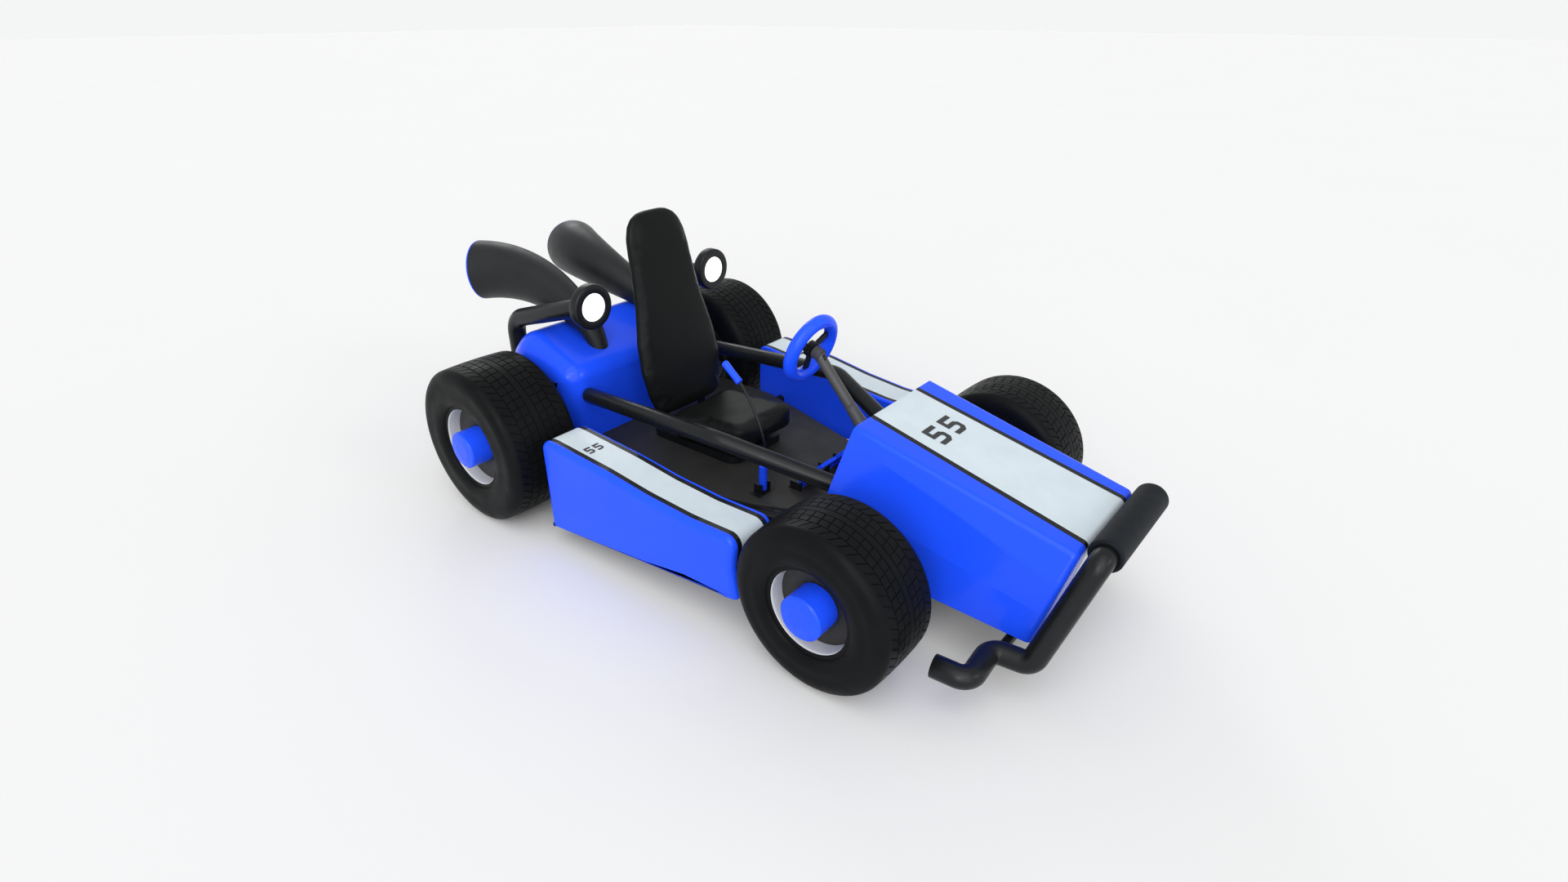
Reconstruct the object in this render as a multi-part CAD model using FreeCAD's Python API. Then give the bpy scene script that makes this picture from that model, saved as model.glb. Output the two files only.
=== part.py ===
"""Ride-on kart chassis: tube frame, bodywork, seat, steering, live rear axle and twin-pipe engine.

Frame: +Z up, nose towards -Y, +X to the driver's left. Millimetres. The model is laid out from the
middle of the wheelbase and moved by origin_shift when it is saved, so that the origin is on the
ground below the centre of the whole kart.
"""
import FreeCAD, Part
import math
import os

from FreeCAD import Vector

os.makedirs("parts", exist_ok=True)

# ---------------------------------------------------------------- driving dimensions
wheelbase = 1280.0
origin_shift = 21.5
front_axle_y = -wheelbase / 2
rear_axle_y = wheelbase / 2

rear_wheel = {"x": 511.0, "radius": 254.0, "width": 250.0, "opening": 137.0}
front_wheel = {"x": 461.0, "radius": 227.0, "width": 216.0, "opening": 123.0}
tyre_wall = 9.0
rim_wall = 4.0
disc_recess = 43.0               # wheel disc behind the tyre's sidewall
hub_radius = 59.0
hub_stands_out = 18.0            # hub cap beyond the tyre's side

frame_z = 172.0
frame_radius = 19.0
tray_top = 203.0
tray_thickness = 12.0
shell = 5.0                      # wall of the moulded bodywork
running_gap = 0.05               # radial clearance of a shaft in its bearing

kingpin_x = 406.0
kingpin_radius = 8.0
knuckle_half_height = 45.0
spindle_radius = 12.5
steering_arm = 75.0
steer_lock = 15.0                # degrees each way at the wheels
wheel_lock = 90.0                # degrees each way at the steering ring
rack_z = 222.0
rack_radius = 12.0

axle_radius = 20.0
sprocket_x = 185.0
disc_x = -185.0
crank_y, crank_z = 590.0, 385.0
crank_radius = 10.0

rail_radius = 25.0
bumper_radius = 29.0
sleeve_radius = 41.0
post_radius = 30.0
lamp_x = 263.0
post_y = 852.0
bolt_radius = 4.0

X = Vector(1, 0, 0)
Y = Vector(0, 1, 0)
Z = Vector(0, 0, 1)


# ---------------------------------------------------------------- helpers
def save(name, shape):
    """Write one sub-part, moved into the kart's own frame."""
    moved = shape.copy()
    moved.translate(Vector(0, origin_shift, 0))
    moved.exportStep("parts/%s.step" % name)


def save_group(name, shapes):
    save(name, Part.makeCompound(shapes))


def mirrored(shape):
    return shape.mirror(Vector(0, 0, 0), X)


def save_pair(name, left):
    save(name + "_left", left)
    save(name + "_right", mirrored(left))


def fuse(shapes):
    return shapes[0].multiFuse(shapes[1:]).removeSplitter()


def unit(vector):
    return Vector(vector).normalize()


def cylinder(start, end, radius):
    along = end - start
    return Part.makeCylinder(radius, along.Length, start, along)


def ring(start, end, outer, inner):
    return cylinder(start, end, outer).cut(cylinder(start, end, inner))


def block(x, y, z):
    """A box from (low, high) pairs."""
    return Part.makeBox(x[1] - x[0], y[1] - y[0], z[1] - z[0], Vector(x[0], y[0], z[0]))


def rounded_wire(corners, radius, place):
    """A closed outline of 2-D corners, each rounded, put in space by place(u, v)."""
    corners = [Vector(u, v, 0) for u, v in corners]
    arcs = []
    for i, here in enumerate(corners):
        before = corners[i - 1] - here
        after = corners[(i + 1) % len(corners)] - here
        half = before.getAngle(after) / 2
        reach = min(radius / math.tan(half), before.Length * 0.48, after.Length * 0.48)
        bisector = unit(unit(before) + unit(after))
        centre = here + bisector * (reach / math.cos(half))
        middle = centre - bisector * (reach * math.tan(half))
        points = (here + unit(before) * reach, middle, here + unit(after) * reach)
        arcs.append([place(p.x, p.y) for p in points])
    edges = []
    for i, arc in enumerate(arcs):
        edges.append(Part.Arc(*arc).toShape())
        edges.append(Part.LineSegment(arc[2], arcs[(i + 1) % len(arcs)][0]).toShape())
    return Part.Wire(edges)


def prism(corners, radius, place, along):
    return Part.Face(rounded_wire(corners, radius, place)).extrude(along)


def path_wire(points, bend):
    """Straight runs through the points, joined by tangent arcs of radius bend."""
    points = [Vector(*p) for p in points]
    edges = []
    at = points[0]
    for i in range(1, len(points) - 1):
        here = points[i]
        before = unit(points[i - 1] - here)
        after = unit(points[i + 1] - here)
        half = before.getAngle(after) / 2
        reach = bend / math.tan(half)
        bisector = unit(before + after)
        centre = here + bisector * (bend / math.sin(half))
        start, end = here + before * reach, here + after * reach
        edges.append(Part.LineSegment(at, start).toShape())
        edges.append(Part.Arc(start, centre - bisector * bend, end).toShape())
        at = end
    edges.append(Part.LineSegment(at, points[-1]).toShape())
    return Part.Wire(edges)


def rod(points, bend, radius):
    path = path_wire(points, bend)
    start = Vector(*points[0])
    circle = Part.makeCircle(radius, start, Vector(*points[1]) - start)
    return path.makePipeShell([Part.Wire(circle)], True, False)


def pipe(points, bend, radius, wall):
    return rod(points, bend, radius).cut(rod(points, bend, radius - wall))


def loft_circles(rows, shrink=0.0):
    """A smooth loft through circles given as (centre, direction, radius)."""
    wires = [Part.Wire(Part.makeCircle(r - shrink, Vector(*c), Vector(*d))) for c, d, r in rows]
    return Part.makeLoft(wires, True, False)


def inset(corners, distance):
    """A convex outline moved inwards; it may be listed either way round."""
    area = sum(a[0] * b[1] - b[0] * a[1] for a, b in zip(corners, corners[1:] + corners[:1]))
    turn = 1.0 if area > 0 else -1.0
    lines = []
    for a, b in zip(corners, corners[1:] + corners[:1]):
        length = math.hypot(b[0] - a[0], b[1] - a[1])
        nx, ny = -(b[1] - a[1]) / length * turn, (b[0] - a[0]) / length * turn
        lines.append((nx, ny, nx * a[0] + ny * a[1] + distance))
    moved = []
    for (a, b, c), (d, e, f) in zip(lines[-1:] + lines[:-1], lines):
        det = a * e - b * d
        moved.append(((c * e - b * f) / det, (a * f - c * d) / det))
    return moved


def revolve_x(profile, x_sign=1.0):
    """Turn a closed (x, r) outline about the X axis."""
    wire = Part.makePolygon([Vector(x * x_sign, 0, r) for x, r in profile + profile[:1]])
    return Part.Face(wire).revolve(Vector(0, 0, 0), X, 360)


# ---------------------------------------------------------------- frame
side_tube_points = [(150, -1030, frame_z), (160, -640, frame_z), (185, -420, frame_z),
                    (300, -40, frame_z), (300, 420, frame_z), (lamp_x, 540, frame_z),
                    (lamp_x, post_y + 20, frame_z)]
outriggers = [(-190, 392.6), (230, 411.5)]     # y, and x where it meets the side pod


def chassis_frame():
    """The welded ladder frame, with outriggers for the side pods and a front bumper carrier."""
    side = rod(side_tube_points, 90, frame_radius)
    parts = [side, mirrored(side)]
    cross = ((-1000, 152, 14), (-640, 160, 16), (-60, 294, 16), (300, 300, 16),
             (post_y, lamp_x, frame_radius))
    for y, half, radius in cross:
        parts.append(cylinder(Vector(-half, y, frame_z), Vector(half, y, frame_z), radius))
    for sign in (-1, 1):
        for y, reach in outriggers:
            inner, outer = Vector(sign * 240, y, frame_z), Vector(sign * reach, y, frame_z)
            parts.append(cylinder(inner, outer, 14))
        parts.append(cylinder(Vector(sign * 150, -1000, 119), Vector(sign * 150, -1000, frame_z), 13))
        parts.append(block((sign * lamp_x - 6, sign * lamp_x + 6), (608, 672), (frame_z, 226)))
    parts.append(cylinder(Vector(-246, -1000, 119), Vector(246, -1000, 119), 13))
    parts.append(block((-60, 60), (post_y + 12, post_y + 26), (147, 197)))
    frame = fuse(parts)
    for x in (-40, 40):
        frame = frame.cut(cylinder(Vector(x, post_y, frame_z), Vector(x, post_y + 30, frame_z), 5.25))
    for sign in (-1, 1):
        for y, reach in outriggers:
            inner, outer = Vector(sign * (reach - 30), y, frame_z), Vector(sign * reach, y, frame_z)
            frame = frame.cut(cylinder(inner, outer, bolt_radius))
    return frame


def panel_bolts():
    """The pod bolts: a round head inside the pod and a shank into each outrigger."""
    bolts = []
    for sign in (-1, 1):
        for y, reach in outriggers:
            head = pod_inner_x(y) + shell + 0.5
            centre = Vector(sign * head, y, frame_z)
            shank = cylinder(Vector(sign * (reach - 28), y, frame_z), centre, bolt_radius)
            bolts.append(shank.fuse(cylinder(centre, centre + X * sign * 5, 9)))
    return bolts


def floor_tray():
    right = [(-1010, 120), (-640, 150), (-440, 178), (-300, 203), (-200, 248), (90, 330), (254, 368),
             (554, 368)]
    outline = [(-x, y) for y, x in right] + [(x, y) for y, x in reversed(right)]
    tray = prism(outline, 60, lambda u, v: Vector(u, v, tray_top - tray_thickness),
                 Vector(0, 0, tray_thickness))
    rim = [edge for edge in tray.Edges if edge.BoundBox.ZMax > tray_top - 0.1
           and edge.BoundBox.ZMin > tray_top - 0.1]
    return tray.makeFillet(5, rim)


# ---------------------------------------------------------------- bodywork
nose_lean = -0.2237              # the nose's back and front planes lean by this much in Y per Z
nose_back = {"y": -507.0, "z": 528.0, "half": [(194, 528), (204, 492), (241, 348), (246, 163)]}
nose_front = {"y": -1114.0, "z": 395.0, "half": [(180, 395), (216, 315), (223, 230), (229, 142)]}
bulkhead_inside = 12.0


def nose_section(end, distance, move_y, drop):
    half = inset(end["half"] + [(-x, z) for x, z in reversed(end["half"])], distance)
    lowest = min(z for _, z in half)
    corners = [(x, z - drop if z < lowest + 20 else z) for x, z in half]

    def place(x, z):
        return Vector(x, end["y"] + move_y + nose_lean * (z - end["z"]), z)
    return rounded_wire(corners, 16 - distance, place)


def nose_solid(distance, back_move, front_move, drop):
    sections = [nose_section(nose_back, distance, back_move, drop),
                nose_section(nose_front, distance, front_move, drop)]
    return Part.makeLoft(sections, True, True)


def nose_slab(start, end):
    """The space between two planes that far inside the nose's back edge."""
    low, high = 278.0, 620.0
    corners = []
    for inside, z in ((start, low), (start, high), (end, high), (end, low)):
        corners.append(Vector(-300, nose_back["y"] + nose_lean * (z - nose_back["z"]) - inside, z))
    return Part.Face(Part.makePolygon(corners + corners[:1])).extrude(Vector(600, 0, 0))


def nose_fairing():
    """The wedge nose: open below, with a bulkhead just inside its back edge."""
    slab = nose_slab(bulkhead_inside, bulkhead_inside + shell)
    bulkhead = nose_solid(shell / 2, 6, shell / 2, 0).common(slab)
    nose = nose_solid(0, 0, 0, 0).cut(nose_solid(shell, 6, shell, 30)).fuse(bulkhead)
    for left in (1, -1):
        nose = nose.cut(cylinder(Vector(left * 172, -440, 320), Vector(left * 140, -560, 298), 36))
        nose = nose.cut(block(sorted((left * 200, left * 300)), (-705, -520), (100, 275)))
    return nose.cut(cylinder(column_point(300), column_point(400), column_radius + 2))


def pod_inner_x(y):
    """Where the side pod's inner wall is, at a place along the kart."""
    (y1, x1), (y2, x2) = pod_plan[:2]
    return x1 + (x2 - x1) * (y - y1) / (y2 - y1)


pod_side = [(-397, 312), (-378, 213), (-396, 112), (-97, 104), (106, 83), (398, 50), (345, 190),
            (343, 358), (76, 338), (-76, 318), (-229, 308)]
pod_plan = [(-400, 384), (400, 420), (400, 566), (255, 560), (-97, 546), (-400, 535)]


def side_pod():
    """A moulded pod, open below, with ends hollowed to clear the tyres."""
    side = prism(pod_side, 28, lambda y, z: Vector(360, y, z), Vector(220, 0, 0))
    plan = prism(pod_plan, 14, lambda y, x: Vector(x, y, 30), Vector(0, 0, 360))
    outer = side.common(plan)
    inner_side = [(y + shell if y < 0 else y - shell, z - shell) if z > 100 else (y * 0.985, z - 40)
                  for y, z in pod_side]
    side = prism(inner_side, 24, lambda y, z: Vector(360, y, z), Vector(220, 0, 0))
    plan = prism(inset(pod_plan, shell), 9, lambda y, x: Vector(x, y, 0), Vector(0, 0, 390))
    pod = outer.cut(side.common(plan))
    for y, _ in outriggers:
        pod = pod.cut(cylinder(Vector(360, y, frame_z), Vector(450, y, frame_z), bolt_radius))
    return pod


cowl_side = [(475, 204), (475, 452), (732, 537), (786, 512), (812, 455), (806, 300), (600, 300), (580, 204)]
cowl_half = 345.0


def cowl_solid(distance):
    corners = [(y, z) for y, z in cowl_side]
    if distance:
        corners = [(475 + shell, 150), (475 + shell, 452 - shell * 0.7), (731, 537 - shell * 1.1),
                   (782, 508), (812 - shell, 454), (806 - shell, 150)]
    side = prism(corners, 30, lambda y, z: Vector(-400, y, z), Vector(800, 0, 0))
    w = cowl_half - distance
    plan = prism([(-w, 475 + distance), (w, 475 + distance), (w, 813 - distance), (-w, 813 - distance)],
                 60 - distance, lambda x, y: Vector(x, y, 100), Vector(0, 0, 500))
    return side.common(plan)


def rear_cowl():
    cowl = cowl_solid(0).cut(cowl_solid(shell))
    for rows in (exhaust_rows(1), exhaust_rows(-1)):
        cowl = cowl.cut(loft_circles(rows, -3.0))
    for sign in (-1, 1):
        cowl = cowl.cut(rod(post_points(sign), 70, post_radius + 4))
    return cowl


# ---------------------------------------------------------------- seat
seat_lean = 0.2
seat_rows = [(282, 128, 36), (300, 152, 48), (360, 172, 52), (430, 184, 52), (521, 178, 52),
             (635, 152, 50), (737, 140, 48), (838, 127, 46), (885, 104, 40), (919, 52, 26)]


def seat_face(z):
    """Y of the back cushion's front face."""
    return 274 + seat_lean * (z - 317.5)


def seat_back():
    wires = []
    for z, half, depth in seat_rows:
        front = seat_face(z) + (52 - depth) / 2
        corners = [(-half, front), (half, front), (half, front + depth), (-half, front + depth)]
        wires.append(rounded_wire(corners, depth * 0.42, lambda x, y, z=z: Vector(x, y, z)))
    return Part.makeLoft(wires, True, True)


def seat_cushion():
    side = [(-64, 262), (-40, 240), (250, 229), (254, 316), (60, 334), (-50, 342)]
    cushion = prism(side, 20, lambda y, z: Vector(-170, y, z), Vector(340, 0, 0))
    plan = [(-137, -64), (137, -64), (150, 254), (-150, 254)]
    return cushion.common(prism(plan, 45, lambda x, y: Vector(x, y, 200), Vector(0, 0, 200)))


def seat_frame():
    """The pedestal under the cushion and the two uprights behind the back cushion."""
    base = prism([(-122, -20), (122, -20), (132, 350), (-132, 350)], 40,
                 lambda x, y: Vector(x, y, tray_top), Vector(0, 0, 25.5))
    parts = [base]
    for x in (-85, 85):
        low, high = seat_face(228) + 56, seat_face(640) + 54
        bar = Part.makePolygon([Vector(x - 14, low, 215), Vector(x - 14, low + 9, 215),
                                Vector(x - 14, high + 9, 640), Vector(x - 14, high, 640),
                                Vector(x - 14, low, 215)])
        parts.append(Part.Face(bar).extrude(Vector(28, 0, 0)))
    middle = seat_face(520) + 56
    parts.append(block((-85, 85), (middle, middle + 7), (505, 535)))
    return fuse(parts)


# ---------------------------------------------------------------- rails, bumper and lamps
def brace_rail():
    """Side rail from the cowl's face, past the seat and into the nose."""
    points = [(282, 462, 367), (295, -107, 403), (130, -559, 292)]
    rail = rod(points, 120, rail_radius)
    end = unit(Vector(*points[0]) - Vector(*points[1]))
    tip = Vector(*points[0])
    return rail.fuse(cylinder(tip, tip + end * 11.7, 16))


def bumper_tube():
    half = [(0, -1159, 403), (186, -1159, 403), (266, -1078, 120), (279, -982, 120), (403, -990, 118),
            (415, -903, 122)]
    left = pipe(half, 34, bumper_radius, 3.0)
    return left.fuse(mirrored(left)).removeSplitter()


def bumper_sleeve():
    left, right = Vector(159, -1159, 403), Vector(-159, -1159, 403)
    return ring(right, left, sleeve_radius, bumper_radius + 0.3)


lamp_centre_z = 665.0
lamp_face_y = 410.0


def post_points(sign):
    return [(sign * lamp_x, 455, 658), (sign * lamp_x, post_y, 533),
            (sign * lamp_x, post_y, frame_z + frame_radius + 0.2)]


def lamp_post():
    return pipe(post_points(1), 70, post_radius, 3.0)


def lamp_housing(sign):
    """A cup with a bezel in front and a closed back that carries the post's end."""
    profile = [(0, 48), (0, 66), (5, 70), (30, 70), (46, 52), (52, 32), (52, 0), (46, 0), (46, 30),
               (41, 48), (28, 64), (14, 64), (14, 48)]
    wire = Part.makePolygon([Vector(0, y, r) for y, r in profile + profile[:1]])
    cup = Part.Face(wire).revolve(Vector(0, 0, 0), Y, 360)
    cup.translate(Vector(sign * lamp_x, lamp_face_y, lamp_centre_z))
    return cup.cut(rod(post_points(sign), 70, post_radius + 0.1))


def lamp_lens(sign):
    """A shallow domed lens behind the bezel."""
    dome = Part.makeSphere(160, Vector(0, 164, 0))
    disc = cylinder(Vector(0, 0, 0), Vector(0, 14, 0), 47.7).common(dome)
    flange = cylinder(Vector(0, 14.2, 0), Vector(0, 18, 0), 60)
    lens = fuse([disc.fuse(cylinder(Vector(0, 12, 0), Vector(0, 18, 0), 47.7)), flange])
    lens.translate(Vector(sign * lamp_x, lamp_face_y, lamp_centre_z))
    return lens


# ---------------------------------------------------------------- engine and exhaust
exhaust_bend = (Vector(151, 598, 541), Vector(95, 906, 663), Vector(200, 1103, 642))
exhaust_radii = (41.0, 89.0, 102.0)


def bezier(three, t):
    return three[0] * (1 - t) ** 2 + three[1] * (2 * t * (1 - t)) + three[2] * t ** 2


def exhaust_rows(sign):
    """Circles down an exhaust pipe: from the cylinder head's port to the trumpet's mouth."""
    rows = [(Vector(113, 588, 440), Vector(1, 0.1, 0.1), 23.0),
            (Vector(137, 594, 462), Vector(0.5, 0.1, 0.9), 30.0)]
    for step in range(1, 9):
        t = step / 8
        slope = (exhaust_bend[1] - exhaust_bend[0]) * (1 - t) + (exhaust_bend[2] - exhaust_bend[1]) * t
        rows.append((bezier(exhaust_bend, t), slope, bezier(exhaust_radii, t)))
    return [(Vector(sign * c.x, c.y, c.z), Vector(sign * d.x, d.y, d.z), r) for c, d, r in rows]


mouth_wall = 4.0


def exhaust_pipe():
    return loft_circles(exhaust_rows(1)).cut(loft_circles(exhaust_rows(1), mouth_wall))


def exhaust_liner(sign):
    """The coloured funnel inside a trumpet's mouth, with a rolled lip over its edge."""
    centre, direction, radius = exhaust_rows(sign)[-1]
    out = unit(Vector(*direction))
    mouth = Vector(*centre)
    bore = radius - mouth_wall
    lip = ring(mouth + out * 0.3, mouth + out * 6, radius, bore - 5)
    funnel = Part.makeCone(bore - 11, bore - 1.2, 60, mouth - out * 59, out)
    inside = Part.makeCone(bore - 15, bore - 5, 66, mouth - out * 60, out)
    return lip.fuse(funnel.fuse(cylinder(mouth, mouth + out, bore - 1.2)).cut(inside)).removeSplitter()


def engine_block():
    """Crankcase and barrels on a plate carried by two posts on the floor."""
    parts = [block((-90, 90), (515, 665), (318, 372)),
             cylinder(Vector(-100, crank_y, 375), Vector(100, crank_y, 375), 42),
             block((-60, 60), (560, 635), (380, 440)),
             cylinder(Vector(98, crank_y, crank_z), Vector(118, crank_y, crank_z), 17)]
    for i in range(4):
        z = 404 + i * 9
        parts.append(block((-68, 68), (552, 643), (z, z + 4.5)))
    for x in (-80, 80):
        parts.append(block((x - 8, x + 8), (500, 556), (tray_top, 330)))
    for z in (280, 300):
        parts.append(block((-80, 80), (506, 514), (z, z + 12)))
    bore = cylinder(Vector(60, crank_y, crank_z), Vector(130, crank_y, crank_z), crank_radius + running_gap)
    return fuse(parts).cut(bore)


def engine_head():
    parts = [block((-68, 68), (556, 640), (440.3, 466))]
    for x in range(-60, 61, 20):
        parts.append(block((x - 3, x + 3), (575, 636), (466, 475)))
    for sign in (-1, 1):
        parts.append(cylinder(Vector(sign * 60, 588, 441), Vector(sign * 109, 588, 441), 21))
    solid = fuse(parts)
    return solid.cut(block((-69, 69), (550, 650), (400, 440.3)))


def carburettor():
    """Carburettor body in front of the barrels, with its round air filter."""
    return fuse([block((-25, 25), (505, 551.5), (410, 436)),
                 cylinder(Vector(-24, 522, 420), Vector(-40, 522, 420), 13),
                 cylinder(Vector(-38, 522, 420), Vector(-95, 522, 420), 26)])


def fuel_tank():
    tank = prism([(-95, -985), (95, -985), (95, -745), (-95, -745)], 30,
                 lambda x, y: Vector(x, y, tray_top), Vector(0, 0, 105))
    return tank.fuse(cylinder(Vector(0, -850, 305), Vector(0, -850, 322), 24))


# ---------------------------------------------------------------- steering
ring_centre = Vector(0, -217, 609)
ring_normal = Vector(0, math.cos(math.radians(17.9)), math.sin(math.radians(17.9)))
ring_major = 88.0
ring_minor = 20.0
head_point = ring_centre - ring_normal * 28
pinion_point = Vector(0, -551, 262)
pinion_radius = steering_arm * steer_lock / wheel_lock
column_radius = 16.0
shaft_radius = 8.0
column_length = 423.0
boot_start, boot_end = 172.0, 372.0


def column_point(distance):
    """A point on the column's axis, that far below the steering ring's bearing."""
    return head_point + unit(pinion_point - head_point) * distance


rack_centre = Vector(0, front_axle_y + steering_arm, rack_z)
column_axis = unit(pinion_point - head_point)
pinion_along = (rack_centre - head_point).dot(column_axis)


def steering_column():
    """The fixed outer tube with the ring's bearing at its head."""
    head = cylinder(ring_centre - ring_normal * 15, ring_centre - ring_normal * 42, 19)
    tube = cylinder(head_point, column_point(column_length), column_radius)
    bore = cylinder(column_point(24), column_point(column_length + 10), shaft_radius + 1.5)
    bearing = ring(column_point(column_length - 16), column_point(column_length), 10,
                   shaft_radius + running_gap)
    stub = cylinder(ring_centre, ring_centre - ring_normal * 60, shaft_radius + running_gap)
    return head.fuse(tube).cut(bore).fuse(bearing).cut(stub)


def steering_boot():
    """The flared boot between the column and the nose's bulkhead."""
    rows = [(boot_start, 17), (222, 19.5), (262, 27), (302, 40), (boot_end, 66)]
    wires = [Part.Wire(Part.makeCircle(radius, column_point(d), column_axis)) for d, radius in rows]
    outer = Part.makeLoft(wires, True, False)
    inner = cylinder(column_point(boot_start - 5), column_point(boot_end + 5), column_radius)
    return outer.cut(inner).cut(nose_slab(bulkhead_inside - 0.3, 300))


def steering_ring():
    return Part.makeTorus(ring_major, ring_minor, ring_centre, ring_normal)


def steering_hub():
    """The hub, its three spokes and the stub shaft that turns in the column's head."""
    parts = [cylinder(ring_centre - ring_normal * 12, ring_centre + ring_normal * 7, 24),
             cylinder(ring_centre - ring_normal * 40, ring_centre, shaft_radius)]
    across = X
    up = ring_normal.cross(across)
    for angle in (90, 210, 330):
        turn = math.radians(angle)
        along = across * math.cos(turn) + up * math.sin(turn)
        side = ring_normal.cross(along)
        corner = ring_centre + along * 15 - side * 11 - ring_normal * 6
        spoke = Part.makePolygon([corner, corner + side * 22, corner + side * 22 + ring_normal * 7,
                                  corner + ring_normal * 7, corner])
        parts.append(Part.Face(spoke).extrude(along * (ring_major - 15)))
    return fuse(parts).cut(steering_ring())


def steering_shaft():
    """The inner shaft from below the universal joint to the pinion on the rack."""
    end = column_point(pinion_along + 12)
    shaft = cylinder(column_point(34), end, shaft_radius)
    return shaft.fuse(cylinder(column_point(pinion_along - 13), end, pinion_radius))


def steering_rack():
    """The sliding bar, with a flat where the pinion runs."""
    y, z = rack_centre.y, rack_centre.z
    bar = cylinder(Vector(-232, y, z), Vector(232, y, z), rack_radius)
    lift = X.cross(column_axis)
    cutter = Part.makeBox(110, 60, 60, Vector(-55, -30, -60))
    cutter.rotate(Vector(0, 0, 0), X, math.degrees(math.atan2(-lift.y, lift.z)))
    cutter.translate(column_point(pinion_along) + lift * (pinion_radius + 0.4))
    return bar.cut(cutter)


def tie_rod(sign):
    """From the rack's end to the steering arm, ending in an eye slotted along Y."""
    y = rack_centre.y
    eye_y = y - 1.8
    rod_part = cylinder(Vector(sign * 232, y, rack_z), Vector(sign * 393, y, rack_z), 7)
    eye = prism([(sign * 390, eye_y - 17), (sign * 420, eye_y - 17), (sign * 420, eye_y + 17),
                 (sign * 390, eye_y + 17)], 8, lambda u, v: Vector(u, v, rack_z - 6), Vector(0, 0, 12))
    slot = prism([(sign * kingpin_x - 7.5, eye_y - 11), (sign * kingpin_x + 7.5, eye_y - 11),
                  (sign * kingpin_x + 7.5, eye_y + 11), (sign * kingpin_x - 7.5, eye_y + 11)], 6.5,
                 lambda u, v: Vector(u, v, rack_z - 8), Vector(0, 0, 16))
    return rod_part.fuse(eye).cut(slot)


def front_beam():
    """The front axle beam with its kingpin yokes and the rack's housing."""
    z = front_wheel["radius"]
    parts = [cylinder(Vector(-345, front_axle_y, z), Vector(345, front_axle_y, z), 19)]
    top = knuckle_half_height + 1
    for sign in (-1, 1):
        parts.append(block(sorted((sign * 340, sign * 352)), (front_axle_y - 24, front_axle_y + 24),
                           (z - top - 12, z + top + 12)))
        for low in (z + top, z - top - 12):
            ear = block(sorted((sign * 345, sign * kingpin_x)), (front_axle_y - 18, front_axle_y + 18),
                        (low, low + 12))
            boss = cylinder(Vector(sign * kingpin_x, front_axle_y, low),
                            Vector(sign * kingpin_x, front_axle_y, low + 12), 18)
            parts += [ear, boss]
        parts.append(block(sorted((sign * 95, sign * 115)), (front_axle_y, rack_centre.y),
                           (rack_z - 12, rack_z + 12)))
    y = rack_centre.y
    parts.append(cylinder(Vector(-120, y, rack_z), Vector(120, y, rack_z), 18))
    parts.append(cylinder(column_point(pinion_along - 22), column_point(pinion_along + 16),
                          pinion_radius + 5))
    beam = fuse(parts)
    beam = beam.cut(cylinder(Vector(-130, y, rack_z), Vector(130, y, rack_z), rack_radius + running_gap))
    beam = beam.cut(cylinder(column_point(pinion_along - 40), column_point(pinion_along + 13.5),
                             pinion_radius + 1.5))
    for sign in (-1, 1):
        beam = beam.cut(kingpin(sign, kingpin_radius))
    return beam


def kingpin(sign, radius=kingpin_radius):
    z = front_wheel["radius"]
    half = knuckle_half_height + 13
    return cylinder(Vector(sign * kingpin_x, front_axle_y, z - half),
                    Vector(sign * kingpin_x, front_axle_y, z + half), radius)


def knuckle():
    """Kingpin barrel, wheel spindle and steering arm with its ball pin."""
    z = front_wheel["radius"]
    centre = Vector(kingpin_x, front_axle_y, z)
    up = Vector(0, 0, knuckle_half_height)
    barrel = cylinder(centre - up, centre + up, 17)
    spindle = cylinder(centre, Vector(front_wheel["x"] + 98, front_axle_y, z), spindle_radius)
    collar = cylinder(centre, Vector(kingpin_x + 26, front_axle_y, z), 20)
    tip = Vector(kingpin_x, front_axle_y + steering_arm, z + 14)
    arm = block((kingpin_x - 9, kingpin_x + 9), (front_axle_y, front_axle_y + steering_arm),
                (z + 6, z + 17)).fuse(cylinder(tip - Vector(0, 0, 8), tip + Vector(0, 0, 3), 9))
    pin = cylinder(tip, Vector(tip.x, tip.y, rack_z - 9), 5.5)
    solid = fuse([barrel, spindle, collar, arm, pin])
    return solid.cut(kingpin(1, kingpin_radius + running_gap))


# ---------------------------------------------------------------- wheels
def disc_face(wheel):
    """X of the wheel disc's outer face: behind the opening in the tyre's sidewall."""
    return wheel["x"] + wheel["width"] / 2 - 13 - disc_recess


def placed(shape, y, wheel):
    shape.translate(Vector(wheel["x"], y, wheel["radius"]))
    return shape


def tyre(wheel, y):
    """A hollow tyre, open between its beads."""
    half = wheel["width"] / 2
    radius = wheel["radius"]
    opening = wheel["opening"]
    bead = opening - 7
    outer = [(-half + 13, bead), (-half + 13, opening), (-half + 4, opening + 8), (-half, opening + 30),
             (-half, radius - 34), (-half + 7, radius - 14), (-half + 26, radius - 3), (-half + 48, radius)]
    outer += [(-x, r) for x, r in reversed(outer)]
    w = tyre_wall
    inner = [(-half + 13 + w, bead), (-half + 12 + w, opening + 6), (-half + w, opening + 34),
             (-half + w, radius - 38), (-half + 30, radius - 3 - w), (-half + 50, radius - w)]
    inner += [(-x, r) for x, r in reversed(inner)]
    return placed(revolve_x(outer + list(reversed(inner))), y, wheel)


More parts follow.
